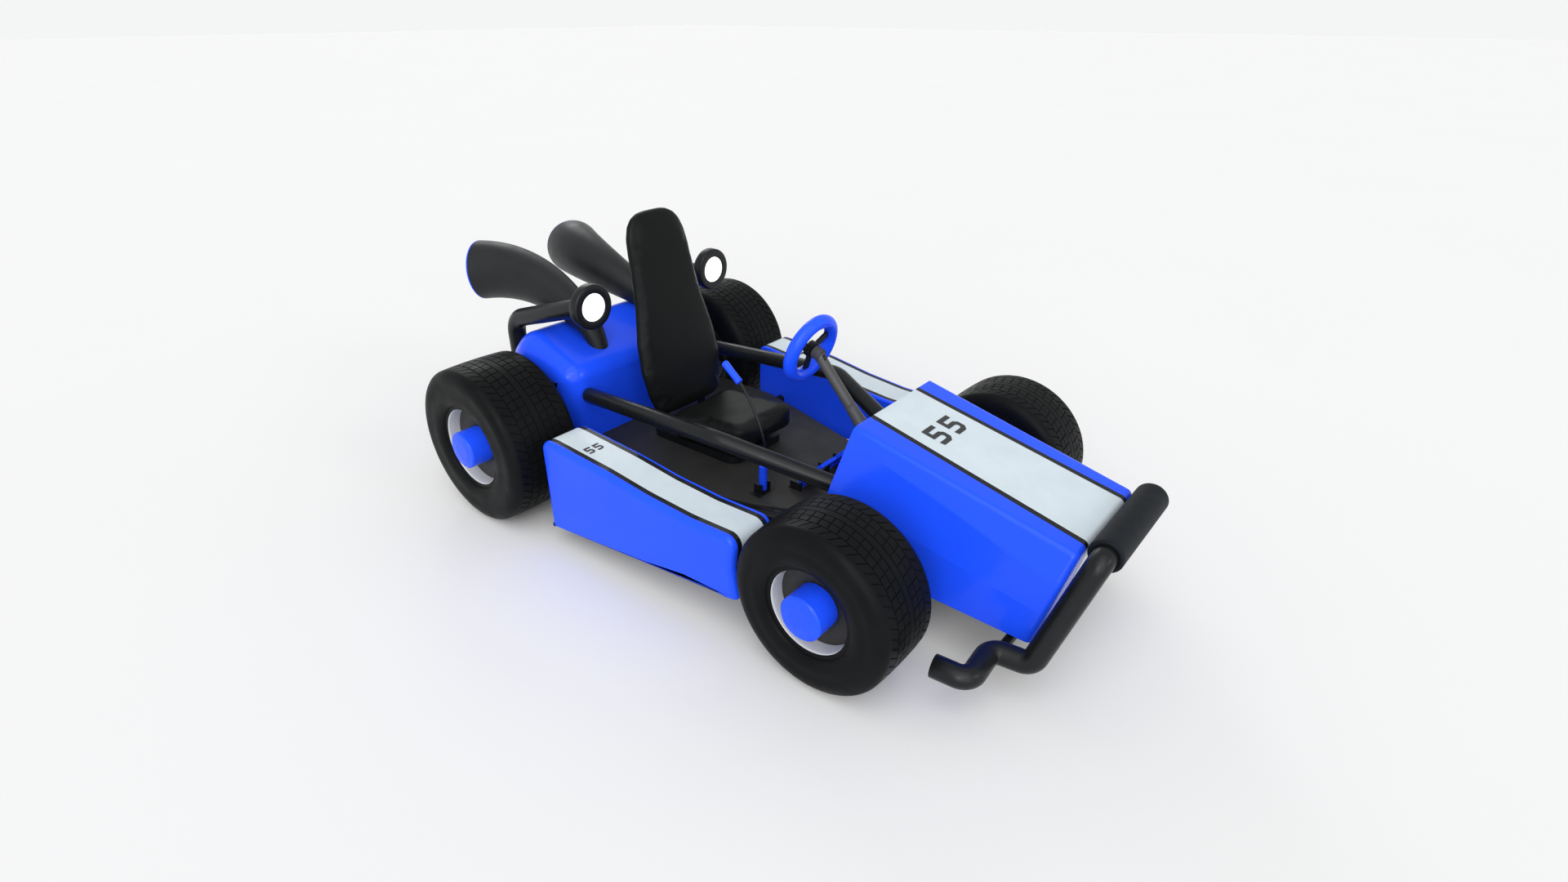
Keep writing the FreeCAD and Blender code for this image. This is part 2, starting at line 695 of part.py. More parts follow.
def rim(wheel, y):
    """A barrel with two lips, joined to a drilled disc."""
    half = wheel["width"] / 2 - 13
    seat = wheel["opening"] - 7 - 0.2
    inner = seat - rim_wall
    disc = disc_face(wheel) - wheel["x"]
    barrel = revolve_x([(-half - 3, seat - 1), (-half - 3, inner), (half + 3, inner), (half + 3, seat - 1)])
    plate = ring(Vector(disc - 5, 0, 0), Vector(disc, 0, 0), inner + 1, 46)
    holes = 14
    for i in range(holes):
        turn = 2 * math.pi * i / holes
        at = Vector(0, math.cos(turn), math.sin(turn)) * 86
        plate = plate.cut(cylinder(at + X * (disc - 8), at + X * (disc + 3), 11))
    return placed(barrel.fuse(plate), y, wheel)


def hub(wheel, y, shaft_radius_here, shaft_end, bearing_start):
    """The round hub with its domed cap, bored for the shaft that carries it."""
    disc = disc_face(wheel) - wheel["x"]
    cap = wheel["width"] / 2 + hub_stands_out
    start = bearing_start - wheel["x"]
    profile = [(start, 0), (start, 46 - 0.2), (disc, 46 - 0.2), (disc + 0.2, hub_radius - 2),
               (disc + 2, hub_radius), (cap - 7, hub_radius), (cap - 3, hub_radius - 4), (cap, 30), (cap, 0)]
    solid = revolve_x(profile)
    bore = cylinder(Vector(start - 1, 0, 0), Vector(shaft_end - wheel["x"], 0, 0), shaft_radius_here)
    return placed(solid.cut(bore), y, wheel)


# ---------------------------------------------------------------- rear axle
rear_shaft_end = disc_face(rear_wheel) + 30
front_shaft_end = front_wheel["x"] + 99


def rear_axle():
    z = rear_wheel["radius"]
    return cylinder(Vector(-rear_shaft_end, rear_axle_y, z), Vector(rear_shaft_end, rear_axle_y, z),
                    axle_radius)


def toothed_disc(x, y, z, radius, teeth, bore, half_width):
    """A sprocket: a disc with rounded notches between its teeth, and a boss."""
    disc = ring(Vector(x - half_width, y, z), Vector(x + half_width, y, z), radius, bore)
    for i in range(teeth):
        turn = 2 * math.pi * i / teeth
        at = Vector(0, y + radius * math.cos(turn), z + radius * math.sin(turn))
        disc = disc.cut(cylinder(at + X * (x - half_width - 1), at + X * (x + half_width + 1), 4))
    boss = ring(Vector(x - 12, y, z), Vector(x + 12, y, z), bore + 10, bore)
    return disc.fuse(boss)


sprocket_radius = 90.0
pinion_sprocket_radius = 30.0


def axle_sprocket():
    return toothed_disc(sprocket_x, rear_axle_y, rear_wheel["radius"], sprocket_radius, 45, axle_radius, 3)


def engine_sprocket():
    """The drive sprocket and the crankshaft's end that carries it."""
    disc = toothed_disc(sprocket_x, crank_y, crank_z, pinion_sprocket_radius, 15, 9.9, 3)
    shaft = cylinder(Vector(62, crank_y, crank_z), Vector(sprocket_x + 14, crank_y, crank_z), crank_radius)
    return disc.fuse(shaft)


def drive_chain():
    """The chain as one band round both sprockets, just clear of their teeth."""
    big = (rear_axle_y, rear_wheel["radius"], sprocket_radius)
    small = (crank_y, crank_z, pinion_sprocket_radius)

    def loop(extra, x, depth):
        (y1, z1, r1), (y2, z2, r2) = big, small
        r1, r2 = r1 + extra, r2 + extra
        reach = math.hypot(y2 - y1, z2 - z1)
        heading = math.atan2(z2 - z1, y2 - y1)
        open_angle = math.acos((r1 - r2) / reach)

        def at(y, z, r, angle):
            return Vector(x, y + r * math.cos(angle), z + r * math.sin(angle))
        a, b = heading + open_angle, heading - open_angle
        edges = [Part.Arc(at(y1, z1, r1, a), at(y1, z1, r1, heading + math.pi), at(y1, z1, r1, b)),
                 Part.LineSegment(at(y1, z1, r1, b), at(y2, z2, r2, b)),
                 Part.Arc(at(y2, z2, r2, b), at(y2, z2, r2, heading), at(y2, z2, r2, a)),
                 Part.LineSegment(at(y2, z2, r2, a), at(y1, z1, r1, a))]
        return Part.Face(Part.Wire([edge.toShape() for edge in edges])).extrude(Vector(depth, 0, 0))
    return loop(7.0, sprocket_x - 6, 12).cut(loop(0.6, sprocket_x - 7, 14))


def brake_disc():
    z = rear_wheel["radius"]
    at = Vector(disc_x, rear_axle_y, z)
    disc = ring(at - X * 2.5, at + X * 2.5, 92, axle_radius)
    disc = disc.fuse(ring(at - X * 14, at + X * 14, 32, axle_radius))
    for i in range(12):
        turn = 2 * math.pi * i / 12
        hole = at + Vector(0, math.cos(turn), math.sin(turn)) * 66
        disc = disc.cut(cylinder(hole - X * 5, hole + X * 5, 6))
    return disc


def brake_caliper():
    """A caliper over the disc's rear edge, on a bracket from the frame."""
    z = rear_wheel["radius"]
    body = block((disc_x - 24, disc_x + 24), (rear_axle_y + 62, rear_axle_y + 118), (z - 36, z + 36))
    slot = block((disc_x - 4, disc_x + 4), (rear_axle_y + 50, rear_axle_y + 104), (z - 50, z + 50))
    foot = block((-lamp_x - 12, disc_x - 20), (rear_axle_y + 80, rear_axle_y + 110),
                 (frame_z + frame_radius + 0.3, z - 20))
    return body.cut(slot).fuse(foot)


def axle_bearing(sign):
    z = rear_wheel["radius"]
    low = Vector(sign * lamp_x - 14, rear_axle_y, z)
    housing = cylinder(low, low + X * 28, 27).fuse(
        block((low.x + 2, low.x + 26), (rear_axle_y - 44, rear_axle_y + 44), (z - 27.6, z - 16)))
    return housing.cut(cylinder(low - X, low + X * 30, axle_radius + running_gap))


# ---------------------------------------------------------------- pedals and lever
pedal_x = 69.0
pedal_pivot = Vector(0, -262, 219)
pedal_tilt = 45.0
pivot_radius = 5.0


def pedal(sign):
    """A pedal plate that rises forwards from its pivot tube, with grip ribs."""
    x = sign * pedal_x
    parts = [block((x - 34, x + 34), (-122, -6), (4, 12))]
    for i in range(4):
        y = -30 - i * 24
        parts.append(block((x - 30, x + 30), (y - 4, y + 4), (12, 15)))
    plate = fuse(parts)
    plate.rotate(Vector(0, 0, 0), X, -pedal_tilt)
    tube = cylinder(Vector(x - 26, 0, 0), Vector(x + 26, 0, 0), 11)
    solid = plate.fuse(tube).cut(cylinder(Vector(x - 50, 0, 0), Vector(x + 50, 0, 0),
                                          pivot_radius + running_gap))
    solid.translate(pedal_pivot)
    return solid


def pedal_bracket():
    """Floor plate, ears and one long pin for both pedals."""
    y, z = pedal_pivot.y, pedal_pivot.z
    parts = [block((-112, 112), (y + 13, y + 34), (tray_top, tray_top + 5)),
             cylinder(Vector(-112, y, z), Vector(112, y, z), pivot_radius)]
    for x in (-107.5, -30.5, 30.5, 107.5):
        parts.append(block((x - 3, x + 3), (y - 10, y + 30), (tray_top, z + 10)))
    return fuse(parts)


lever_x = -180.0
lever_pivot_z = 222.0
lever_pivot_y = -181.0


def lever_rod():
    """The blue foot sleeve's rod: it rises and curves back towards the seat."""
    foot = Vector(lever_x, lever_pivot_y, lever_pivot_z)
    points = [(lever_x + 2, -183, 212), (lever_x + 3, -187, 352), (-172, -135, 462), (-160, -84, 523),
              (-157, -56, 542)]
    path = [Vector(*p) for p in points]
    curve = Part.BSplineCurve()
    curve.interpolate(path)
    circle = Part.makeCircle(4, path[0], curve.tangent(0)[0])
    shaft = Part.Wire(curve.toShape()).makePipeShell([Part.Wire(circle)], True, False)
    sleeve = cylinder(Vector(lever_x + 2, -183, 208), Vector(lever_x + 3, -184.5, 292), 12.5)
    return shaft.fuse(sleeve).cut(cylinder(foot - X * 30, foot + X * 30, pivot_radius + running_gap))


def lever_grip():
    low, high = Vector(-160.5, -86, 521), Vector(-153, -20, 564)
    along = unit(high - low)
    grip = cylinder(low, high, 11)
    ends = [edge for edge in grip.Edges if edge.Closed]
    return grip.makeFillet(4, ends).cut(lever_rod())


def lever_pivot():
    """The lever's clevis on the floor tray."""
    y, z = lever_pivot_y, lever_pivot_z
    parts = [block((lever_x - 34, lever_x + 38), (y - 20, y + 20), (tray_top, tray_top + 1.5))]
    for side in (-1, 1):
        x = lever_x + 2 + side * 18
        parts.append(block((x - 3, x + 3), (y - 14, y + 14), (tray_top, z + 12)))
    parts.append(cylinder(Vector(lever_x - 20, y, z), Vector(lever_x + 24, y, z), pivot_radius))
    return fuse(parts)


# ---------------------------------------------------------------- write every sub-part
save("chassis_frame", chassis_frame())
save("floor_tray", floor_tray())
save("nose_fairing", nose_fairing())
save_pair("side_pod", side_pod())
save("rear_cowl", rear_cowl())
save("seat_frame", seat_frame())
save("seat_cushion", seat_cushion())
save("seat_back", seat_back())
save_pair("brace_rail", brace_rail())
save("bumper_tube", bumper_tube())
save("bumper_sleeve", bumper_sleeve())
save_pair("lamp_post", lamp_post())
save_group("lamp_housings", [lamp_housing(1), lamp_housing(-1)])
save_group("lamp_lenses", [lamp_lens(1), lamp_lens(-1)])
save_pair("exhaust_pipe", exhaust_pipe())
save_group("exhaust_liners", [exhaust_liner(1), exhaust_liner(-1)])
save("engine_block", engine_block())
save("engine_head", engine_head())
save("carburettor", carburettor())
save("fuel_tank", fuel_tank())
save_group("axle_bearings", [axle_bearing(1), axle_bearing(-1)])
save("brake_caliper", brake_caliper())
save("drive_chain", drive_chain())
save("pedal_bracket", pedal_bracket())
save("steering_column", steering_column())
save("steering_boot", steering_boot())
save("front_beam", front_beam())
save_group("kingpins", [kingpin(1), kingpin(-1)])
save("lever_pivot", lever_pivot())
save_group("panel_bolts", panel_bolts())

save("steering_ring", steering_ring())
save("steering_hub", steering_hub())
save("steering_shaft", steering_shaft())
save("steering_rack", steering_rack())
save_group("tie_rods", [tie_rod(1), tie_rod(-1)])
save_pair("knuckle", knuckle())

save_pair("front_tyre", tyre(front_wheel, front_axle_y))
save_pair("front_rim", rim(front_wheel, front_axle_y))
save_pair("front_hub", hub(front_wheel, front_axle_y, spindle_radius + running_gap, front_shaft_end,
                           kingpin_x + 27))
save_pair("rear_tyre", tyre(rear_wheel, rear_axle_y))
save_pair("rear_rim", rim(rear_wheel, rear_axle_y))
rear_hub = hub(rear_wheel, rear_axle_y, axle_radius, rear_shaft_end, disc_face(rear_wheel) - 30)
save_group("rear_hubs", [rear_hub, mirrored(rear_hub)])
save("rear_axle", rear_axle())
save("axle_sprocket", axle_sprocket())
save("brake_disc", brake_disc())
save("engine_sprocket", engine_sprocket())

save("throttle_pedal", pedal(-1))
save("brake_pedal", pedal(1))
save("lever_rod", lever_rod())
save("lever_grip", lever_grip())
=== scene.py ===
"""Looks of the kart: bodywork, tyres, seat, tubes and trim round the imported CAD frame.

Sizes below are millimetres from mid-wheelbase on the ground, as in the CAD layout; at() turns them
into metres in the shared frame.
"""
import math

import bmesh
import bpy
from mathutils import Matrix, Vector
from mathutils.bvhtree import BVHTree


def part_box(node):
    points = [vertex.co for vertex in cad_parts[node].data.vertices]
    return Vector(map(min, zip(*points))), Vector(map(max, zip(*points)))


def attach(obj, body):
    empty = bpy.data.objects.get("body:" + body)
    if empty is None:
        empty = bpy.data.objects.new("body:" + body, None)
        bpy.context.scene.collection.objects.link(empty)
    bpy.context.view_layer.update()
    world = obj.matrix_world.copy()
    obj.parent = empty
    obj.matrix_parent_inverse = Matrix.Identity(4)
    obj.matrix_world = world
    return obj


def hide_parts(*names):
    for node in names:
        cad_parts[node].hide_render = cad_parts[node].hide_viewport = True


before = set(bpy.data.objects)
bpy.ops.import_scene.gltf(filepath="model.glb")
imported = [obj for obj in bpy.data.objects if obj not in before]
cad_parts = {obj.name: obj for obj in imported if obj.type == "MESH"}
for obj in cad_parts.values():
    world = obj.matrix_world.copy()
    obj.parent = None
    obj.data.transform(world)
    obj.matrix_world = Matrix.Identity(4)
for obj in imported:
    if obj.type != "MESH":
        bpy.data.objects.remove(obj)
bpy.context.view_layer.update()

axle_low, axle_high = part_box("rear_axle")
rear_axle_y = 640.0
shift = (axle_low.y + axle_high.y) / 2 * 1000 - rear_axle_y
front_axle_y = -640.0


def at(x, y, z):
    return Vector((x, y + shift, z)) / 1000


# ---------------------------------------------------------------- materials
class Shader:
    """A Principled material with small helpers for procedural detail."""

    def __init__(self, name, color, rough, **sockets):
        self.material = bpy.data.materials.new(name)
        self.material.use_nodes = True
        self.tree = self.material.node_tree
        self.bsdf = self.tree.nodes["Principled BSDF"]
        self.bsdf.inputs["Base Color"].default_value = (*color, 1)
        self.bsdf.inputs["Roughness"].default_value = rough
        for key, value in sockets.items():
            self.bsdf.inputs[key.replace("_", " ")].default_value = value
        self.color, self.rough = color, rough
        self.place = self.tree.nodes.new("ShaderNodeTexCoord").outputs["Object"]
        self.height = None

    def node(self, kind, **settings):
        made = self.tree.nodes.new(kind)
        for key, value in settings.items():
            setattr(made, key, value)
        return made

    def put(self, socket, value):
        if isinstance(value, bpy.types.NodeSocket):
            self.tree.links.new(value, socket)
        else:
            socket.default_value = value

    def math(self, operation, a, b=0.0, c=0.0):
        made = self.node("ShaderNodeMath", operation=operation)
        for socket, value in zip(made.inputs, (a, b, c)):
            self.put(socket, value)
        return made.outputs[0]

    def mix(self, factor, a, b):
        made = self.node("ShaderNodeMix", data_type="RGBA")
        self.put(made.inputs[0], factor)
        self.put(made.inputs[6], a)
        self.put(made.inputs[7], b)
        return made.outputs[2]

    def span(self, value, low, high, out_low=0.0, out_high=1.0):
        made = self.node("ShaderNodeMapRange")
        for socket, entry in zip(made.inputs, (value, low, high, out_low, out_high)):
            self.put(socket, entry)
        return made.outputs[0]

    def axes(self):
        split = self.node("ShaderNodeSeparateXYZ")
        self.put(split.inputs[0], self.place)
        return split.outputs

    def noise(self, scale, detail=3.0, stretch=None):
        place = self.place
        if stretch:
            mapping = self.node("ShaderNodeMapping")
            self.put(mapping.inputs["Vector"], place)
            mapping.inputs["Scale"].default_value = stretch
            place = mapping.outputs[0]
        made = self.node("ShaderNodeTexNoise")
        self.put(made.inputs["Vector"], place)
        made.inputs["Scale"].default_value = scale
        made.inputs["Detail"].default_value = detail
        return made.outputs[0]

    def cells(self, scale, feature="F1"):
        made = self.node("ShaderNodeTexVoronoi", feature=feature)
        self.put(made.inputs["Vector"], self.place)
        made.inputs["Scale"].default_value = scale
        return made.outputs["Distance"]

    def vary_rough(self, scale, amount, stretch=None):
        self.put(self.bsdf.inputs["Roughness"], self.span(
            self.noise(scale, 4, stretch), 0.3, 0.7, self.rough - amount, self.rough + amount))
        return self

    def vary_color(self, scale, amount, source=None):
        low = (*[c * (1 - amount) for c in self.color], 1)
        high = (*[min(1, c * (1 + amount)) for c in self.color], 1)
        factor = self.span(source or self.noise(scale, 4), 0.3, 0.7)
        self.put(self.bsdf.inputs["Base Color"], self.mix(factor, low, high))
        return self

    def bump(self, source, strength, distance):
        made = self.node("ShaderNodeBump")
        made.inputs["Strength"].default_value = strength
        made.inputs["Distance"].default_value = distance
        self.put(made.inputs["Height"], source)
        if self.height:
            self.put(made.inputs["Normal"], self.height)
        self.height = made.outputs[0]
        self.put(self.bsdf.inputs["Normal"], self.height)
        return self


blue = (0.012, 0.078, 0.95)
white = (0.53, 0.605, 0.65)
black = (0.007, 0.008, 0.009)


def gelcoat(name, stripe=None):
    """Gloss moulding with a faint orange peel; stripe gives |x| of a white band and its borders."""
    look = Shader(name, blue, 0.22, Coat_Weight=0.08, Coat_Roughness=0.06, Specular_IOR_Level=0.16)
    look.vary_rough(9, 0.03).bump(look.noise(160, 2), 0.05, 0.0008)
    color = look.mix(look.span(look.noise(3.5, 3), 0.3, 0.7), (*[c * 0.93 for c in blue], 1),
                     (*[min(1, c * 1.05) for c in blue], 1))
    if stripe:
        x, y, _ = look.axes()
        across = look.math("ABSOLUTE", x)
        along = look.math("SUBTRACT", y, stripe["y"] / 1000)

        def inside(edge):
            middle, slope = stripe["middle"]
            offset = look.math("MULTIPLY_ADD", along, slope, middle / 1000)
            half = look.math("MULTIPLY_ADD", along, stripe["half"][1], (stripe["half"][0] + edge) / 1000)
            away = look.math("ABSOLUTE", look.math("SUBTRACT", across, offset))
            return look.math("LESS_THAN", away, half)
        dirt = look.mix(look.span(look.noise(14, 4), 0.35, 0.75), (*white, 1), (0.49, 0.56, 0.605, 1))
        color = look.mix(inside(0), color, (*black, 1))
        color = look.mix(inside(-stripe["border"]), color, dirt)
    look.put(look.bsdf.inputs["Base Color"], color)
    return look.material


nose_stripe = {"y": -507 + shift, "middle": (0, 0), "half": (121, -12 / 607), "border": 17}
pod_stripe = {"y": shift, "middle": (472, 28.5 / 740), "half": (59.3, 1.5 / 740), "border": 15}

gel_nose = gelcoat("gelcoat_nose", nose_stripe)
gel_pod = gelcoat("gelcoat_pod", pod_stripe)
gel_plain = gelcoat("gelcoat_plain")

inside_look = Shader("moulding_inside", (0.02, 0.03, 0.12), 0.6)
inside_look.vary_color(20, 0.25).bump(inside_look.noise(240, 4), 0.35, 0.0012)
moulding_inside = inside_look.material


def painted(name, color, rough, coat=0.0, grain=700, depth=0.0003, strength=0.25, shine=0.5):
    look = Shader(name, color, rough, Coat_Weight=coat, Coat_Roughness=0.12, Specular_IOR_Level=shine)
    look.vary_rough(24, 0.05).vary_color(12, 0.08).bump(look.noise(grain, 2), strength, depth)
    return look.material


blue_paint = painted("blue_paint", blue, 0.26, coat=0.06, grain=260, strength=0.06, shine=0.16)
black_tube = painted("black_powder_coat", black, 0.32, grain=900, strength=0.07, shine=0.24)
black_satin = painted("black_satin_moulding", (0.012, 0.0135, 0.0145), 0.42, grain=1100, strength=0.1,
                      shine=0.2)
grey_tube = painted("grey_paint", (0.055, 0.055, 0.056), 0.42, grain=500, shine=0.3)
white_paint = painted("white_wheel_paint", (0.6, 0.61, 0.6), 0.34, coat=0.15, grain=300, strength=0.08)
digit_black = painted("digit_film", (0.014, 0.016, 0.018), 0.4, grain=800, strength=0.1)

look = Shader("tray_plastic", (0.026, 0.0262, 0.024), 0.5, Specular_IOR_Level=0.2)
look.vary_rough(16, 0.08).vary_color(7, 0.2).bump(look.cells(420), 0.35, 0.0007)
tray_plastic = look.material

look = Shader("tyre_rubber", (0.0046, 0.0050, 0.0054), 0.42, Specular_IOR_Level=0.07)
look.vary_rough(18, 0.09).vary_color(10, 0.22).bump(look.noise(420, 4), 0.25, 0.0006)
tyre_rubber = look.material

look = Shader("seat_vinyl", (0.0058, 0.0066, 0.0066), 0.36, Specular_IOR_Level=0.1)
look.vary_rough(11, 0.06).vary_color(6, 0.12)
look.bump(look.cells(620, "SMOOTH_F1"), 0.32, 0.0005).bump(look.noise(90, 3), 0.12, 0.0012)
seat_vinyl = look.material

look = Shader("foam_grip", (0.0065, 0.0088, 0.0118), 0.55, Specular_IOR_Level=0.12)
look.vary_color(30, 0.2).bump(look.cells(900), 0.5, 0.0006)
foam_grip = look.material

look = Shader("wheel_mesh", (0.02, 0.02, 0.018), 0.55)
_, y_axis, z_axis = look.axes()
weave = look.math("MULTIPLY", look.math("SINE", look.math("MULTIPLY", y_axis, 1150.0)),
                  look.math("SINE", look.math("MULTIPLY", z_axis, 1150.0)))
look.put(look.bsdf.inputs["Base Color"], look.mix(look.span(weave, -0.5, 0.7), (0.004, 0.004, 0.004, 1),
                                                  (0.045, 0.044, 0.038, 1)))
look.bump(weave, 0.7, 0.0012)
wheel_mesh = look.material

look = Shader("machined_steel", (0.42, 0.42, 0.43), 0.3, Metallic=1.0)
look.vary_rough(60, 0.08, (1, 1, 14)).vary_color(9, 0.12).bump(look.noise(300, 3, (1, 1, 9)), 0.12, 0.0003)
steel = look.material

look = Shader("cast_alloy", (0.4, 0.4, 0.41), 0.5, Metallic=1.0)
look.vary_rough(30, 0.1).vary_color(14, 0.18).bump(look.noise(420, 4), 0.5, 0.0009)
cast_alloy = look.material

look = Shader("turned_iron", (0.2, 0.2, 0.2), 0.4, Metallic=1.0)
look.vary_rough(30, 0.1).bump(look.noise(200, 4), 0.2, 0.0004)
brake_iron = look.material

look = Shader("zinc", (0.5, 0.5, 0.47), 0.32, Metallic=1.0)
look.vary_rough(80, 0.08).vary_color(30, 0.15)
zinc = look.material

look = Shader("lamp_glass", (0.9, 0.93, 0.96), 0.3, Emission_Color=(1, 1, 1, 1), Emission_Strength=1.6,
              Coat_Weight=0.4)
look.bump(look.cells(190), 0.15, 0.001)
lamp_glass = look.material

look = Shader("lamp_reflector", (0.7, 0.71, 0.72), 0.16, Metallic=1.0)
look.vary_rough(20, 0.05)
reflector = look.material

cad_looks = {
    black_tube: ["chassis_frame", "front_beam", "steering_hub", "pedal_bracket", "lever_pivot", "seat_frame"],
    blue_paint: ["front_hub_left", "front_hub_right", "rear_hubs", "throttle_pedal", "brake_pedal"],
    tray_plastic: ["floor_tray", "fuel_tank"],
    grey_tube: ["steering_column"],
    steel: ["rear_axle", "axle_sprocket", "engine_sprocket", "drive_chain", "steering_shaft", "steering_rack",
            "tie_rods", "knuckle_left", "knuckle_right", "kingpins"],
    zinc: ["panel_bolts"],
    cast_alloy: ["engine_block", "engine_head", "carburettor", "axle_bearings", "brake_caliper"],
    brake_iron: ["brake_disc"],
}
for surface, names in cad_looks.items():
    for name in names:
        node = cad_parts[name]
        if not node.material_slots:
            node.data.materials.append(surface)
        for slot in node.material_slots:
            slot.material = surface


# ---------------------------------------------------------------- mesh helpers
def make(name, body, surface, rings=(), closed_ring=True, closed_path=False, caps=(), verts=None, faces=None,
         stands_for=(), slot=None, smooth=True):
    """A piece from rings of points in layout millimetres, or from given verts and faces."""
    if verts is None:
        count = len(rings[0])
        verts = [p for ring in rings for p in ring]
        faces = []
        for j in range(len(rings) if closed_path else len(rings) - 1):
            low, high = j * count, (j + 1) % len(rings) * count
            for i in range(count if closed_ring else count - 1):
                k = (i + 1) % count
                faces.append((low + i, low + k, high + k, high + i))
        if "first" in caps:
            faces.append(tuple(reversed(range(count))))
        if "last" in caps:
            faces.append(tuple(range((len(rings) - 1) * count, len(rings) * count)))
    mesh = bpy.data.meshes.new(name)
    mesh.from_pydata([at(*p) for p in verts], [], faces)
    mesh.update()
    work = bmesh.new()
    work.from_mesh(mesh)
    bmesh.ops.recalc_face_normals(work, faces=work.faces)
    work.to_mesh(mesh)
    work.free()
    mesh.polygons.foreach_set("use_smooth", [smooth] * len(mesh.polygons))
    mesh.materials.append(surface)
    return add(name, mesh, body, stands_for)


def add(name, mesh, body, stands_for=()):
    piece = bpy.data.objects.new(name, mesh)
    bpy.context.scene.collection.objects.link(piece)
    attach(piece, body)
    if stands_for:
        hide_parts(*stands_for)
    return piece


def modify(piece, kind, **settings):
    made = piece.modifiers.new(kind.lower(), kind)
    for key, value in settings.items():
        setattr(made, key, value)
    return made


def weigh(piece):
    modify(piece, "WEIGHTED_NORMAL", weight=60, keep_sharp=True)
    return piece


def frame_of(direction):
    """Two unit vectors across a direction."""
    direction = Vector(direction).normalized()
    helper = Vector((0, 0, 1)) if abs(direction.z) < 0.9 else Vector((0, 1, 0))
    across = direction.cross(helper).normalized()
    return across, direction.cross(across).normalized()


def circle(centre, direction, radius, count):
    across, up = frame_of(direction)
    return [Vector(centre) + (across * math.cos(2 * math.pi * i / count)
                              + up * math.sin(2 * math.pi * i / count)) * radius for i in range(count)]


def lathe(name, body, surface, centre, direction, profile, count=64, **more):
    """Turn (distance, radius) pairs about an axis; a closed profile repeats its first pair."""
    closed = profile[0] == profile[-1]
    pairs = profile[:-1] if closed else profile
    direction = Vector(direction).normalized()
    rings = [circle(Vector(centre) + direction * d, direction, max(r, 0.05), count) for d, r in pairs]
    return make(name, body, surface, rings, closed_path=closed, **more)


def rounded(points, radii, steps=8, closed=False):
    """An outline in 2-D with each corner rounded by its radius: (point, outward normal) pairs."""
    made = []
    count = len(points)
    for i, (here, radius) in enumerate(zip(points, radii)):
        here = Vector(here)
        ends = not closed and i in (0, count - 1)
        before = (Vector(points[i - 1]) - here).normalized() if closed or i else None
        after = (Vector(points[(i + 1) % count]) - here).normalized() if closed or i < count - 1 else None
        if ends or radius == 0:
            along = after if before is None else -before if after is None else (after - before).normalized()
            made.append((here, Vector((along.y, -along.x))))
            continue
        half = before.angle(after) / 2
        reach = radius / math.tan(half)
        start, end = here + before * reach, here + after * reach
        centre = here + (before + after).normalized() * (radius / math.sin(half))
        first, last = (start - centre), (end - centre)
        turn = first.angle_signed(last)
        sign = 1 if (-before).x * after.y - (-before).y * after.x > 0 else -1
        for k in range(steps + 1):
            angle = abs(turn) * sign * k / steps
            spoke = Vector((first.x * math.cos(angle) - first.y * math.sin(angle),
                            first.x * math.sin(angle) + first.y * math.cos(angle)))
            made.append((centre + spoke, spoke.normalized() * sign))
    return made


def route(points, bend, steps=10):
    """Centres and directions along straight runs joined by arcs."""
    points = [Vector(p) for p in points]
    made = [(points[0], (points[1] - points[0]).normalized())]
    for i in range(1, len(points) - 1):
        here = points[i]
        before, after = (points[i - 1] - here).normalized(), (points[i + 1] - here).normalized()
        half = before.angle(after) / 2
        reach = bend / math.tan(half)
        centre = here + (before + after).normalized() * (bend / math.sin(half))
        start = here + before * reach
        axis = (-before).cross(after).normalized()
        sweep = math.pi - 2 * half
        for k in range(steps + 1):
            turned = Matrix.Rotation(sweep * k / steps, 3, axis)
            made.append((centre + turned @ (start - centre), turned @ -before))
    made.append((points[-1], (points[-1] - points[-2]).normalized()))
    return made


def tube(name, body, surface, points, bend, radius, wall=None, count=40, ends=(6, 6), **more):
    """A tube along a route: rounded closed ends, or an open wall at both ends."""
    line = route(points, bend)
    across, up = frame_of(line[0][1])
    rings, frames, last = [], [], line[0][1]
    for centre, direction in line:
        turn = last.rotation_difference(direction)
        across, up, last = turn @ across, turn @ up, direction
        frames.append((centre, across.copy(), up.copy(), direction))

    def put(centre, a, u, r):
        rings.append([centre + (a * math.cos(2 * math.pi * i / count)
                                + u * math.sin(2 * math.pi * i / count)) * r for i in range(count)])

    def end(which, backwards):
        centre, a, u, direction = frames[which]
        if which:
            direction = -direction
        if wall:
            edge = [(60, radius - wall), (0.8, radius - wall), (0, radius - wall + 0.8), (0, radius - 0.8),
                    (0.8, radius)]
        else:
            size = ends[1 if which else 0]
            edge = [(0, 0.05), (0, radius - size)]
            edge += [(size * (1 - math.sin(t)), radius - size * (1 - math.cos(t)))
                     for t in [math.pi / 2 * (1 - k / 5) for k in range(6)]]
        for depth, r in (reversed(edge) if backwards else edge):
            put(centre + direction * depth, a, u, r)
    end(0, False)
    for centre, a, u, _ in frames[1:-1]:
        put(centre, a, u, radius)
    end(-1, True)
    return make(name, body, surface, rings, **more)


def pillow(outline, columns):
    """Rings of a YZ outline pushed across X: columns are (x as a function of y, inset) pairs."""
    return [[(x_of(p.x), p.x - n.x * inset, p.y - n.y * inset) for p, n in outline]
            for x_of, inset in columns]


def round_columns(low, high, radius_low, radius_high, steps=7):
    """Columns from one side to the other, with rounded edges."""
    first = [(lambda y, s=s: low(y) + radius_low * (1 - math.cos(s)), radius_low * (1 - math.sin(s)))
             for s in [math.pi / 2 * k / steps for k in range(steps + 1)]]
    last = [(lambda y, s=s: high(y) - radius_high * (1 - math.cos(s)), radius_high * (1 - math.sin(s)))
            for s in [math.pi / 2 * (1 - k / steps) for k in range(steps + 1)]]
    return first + last


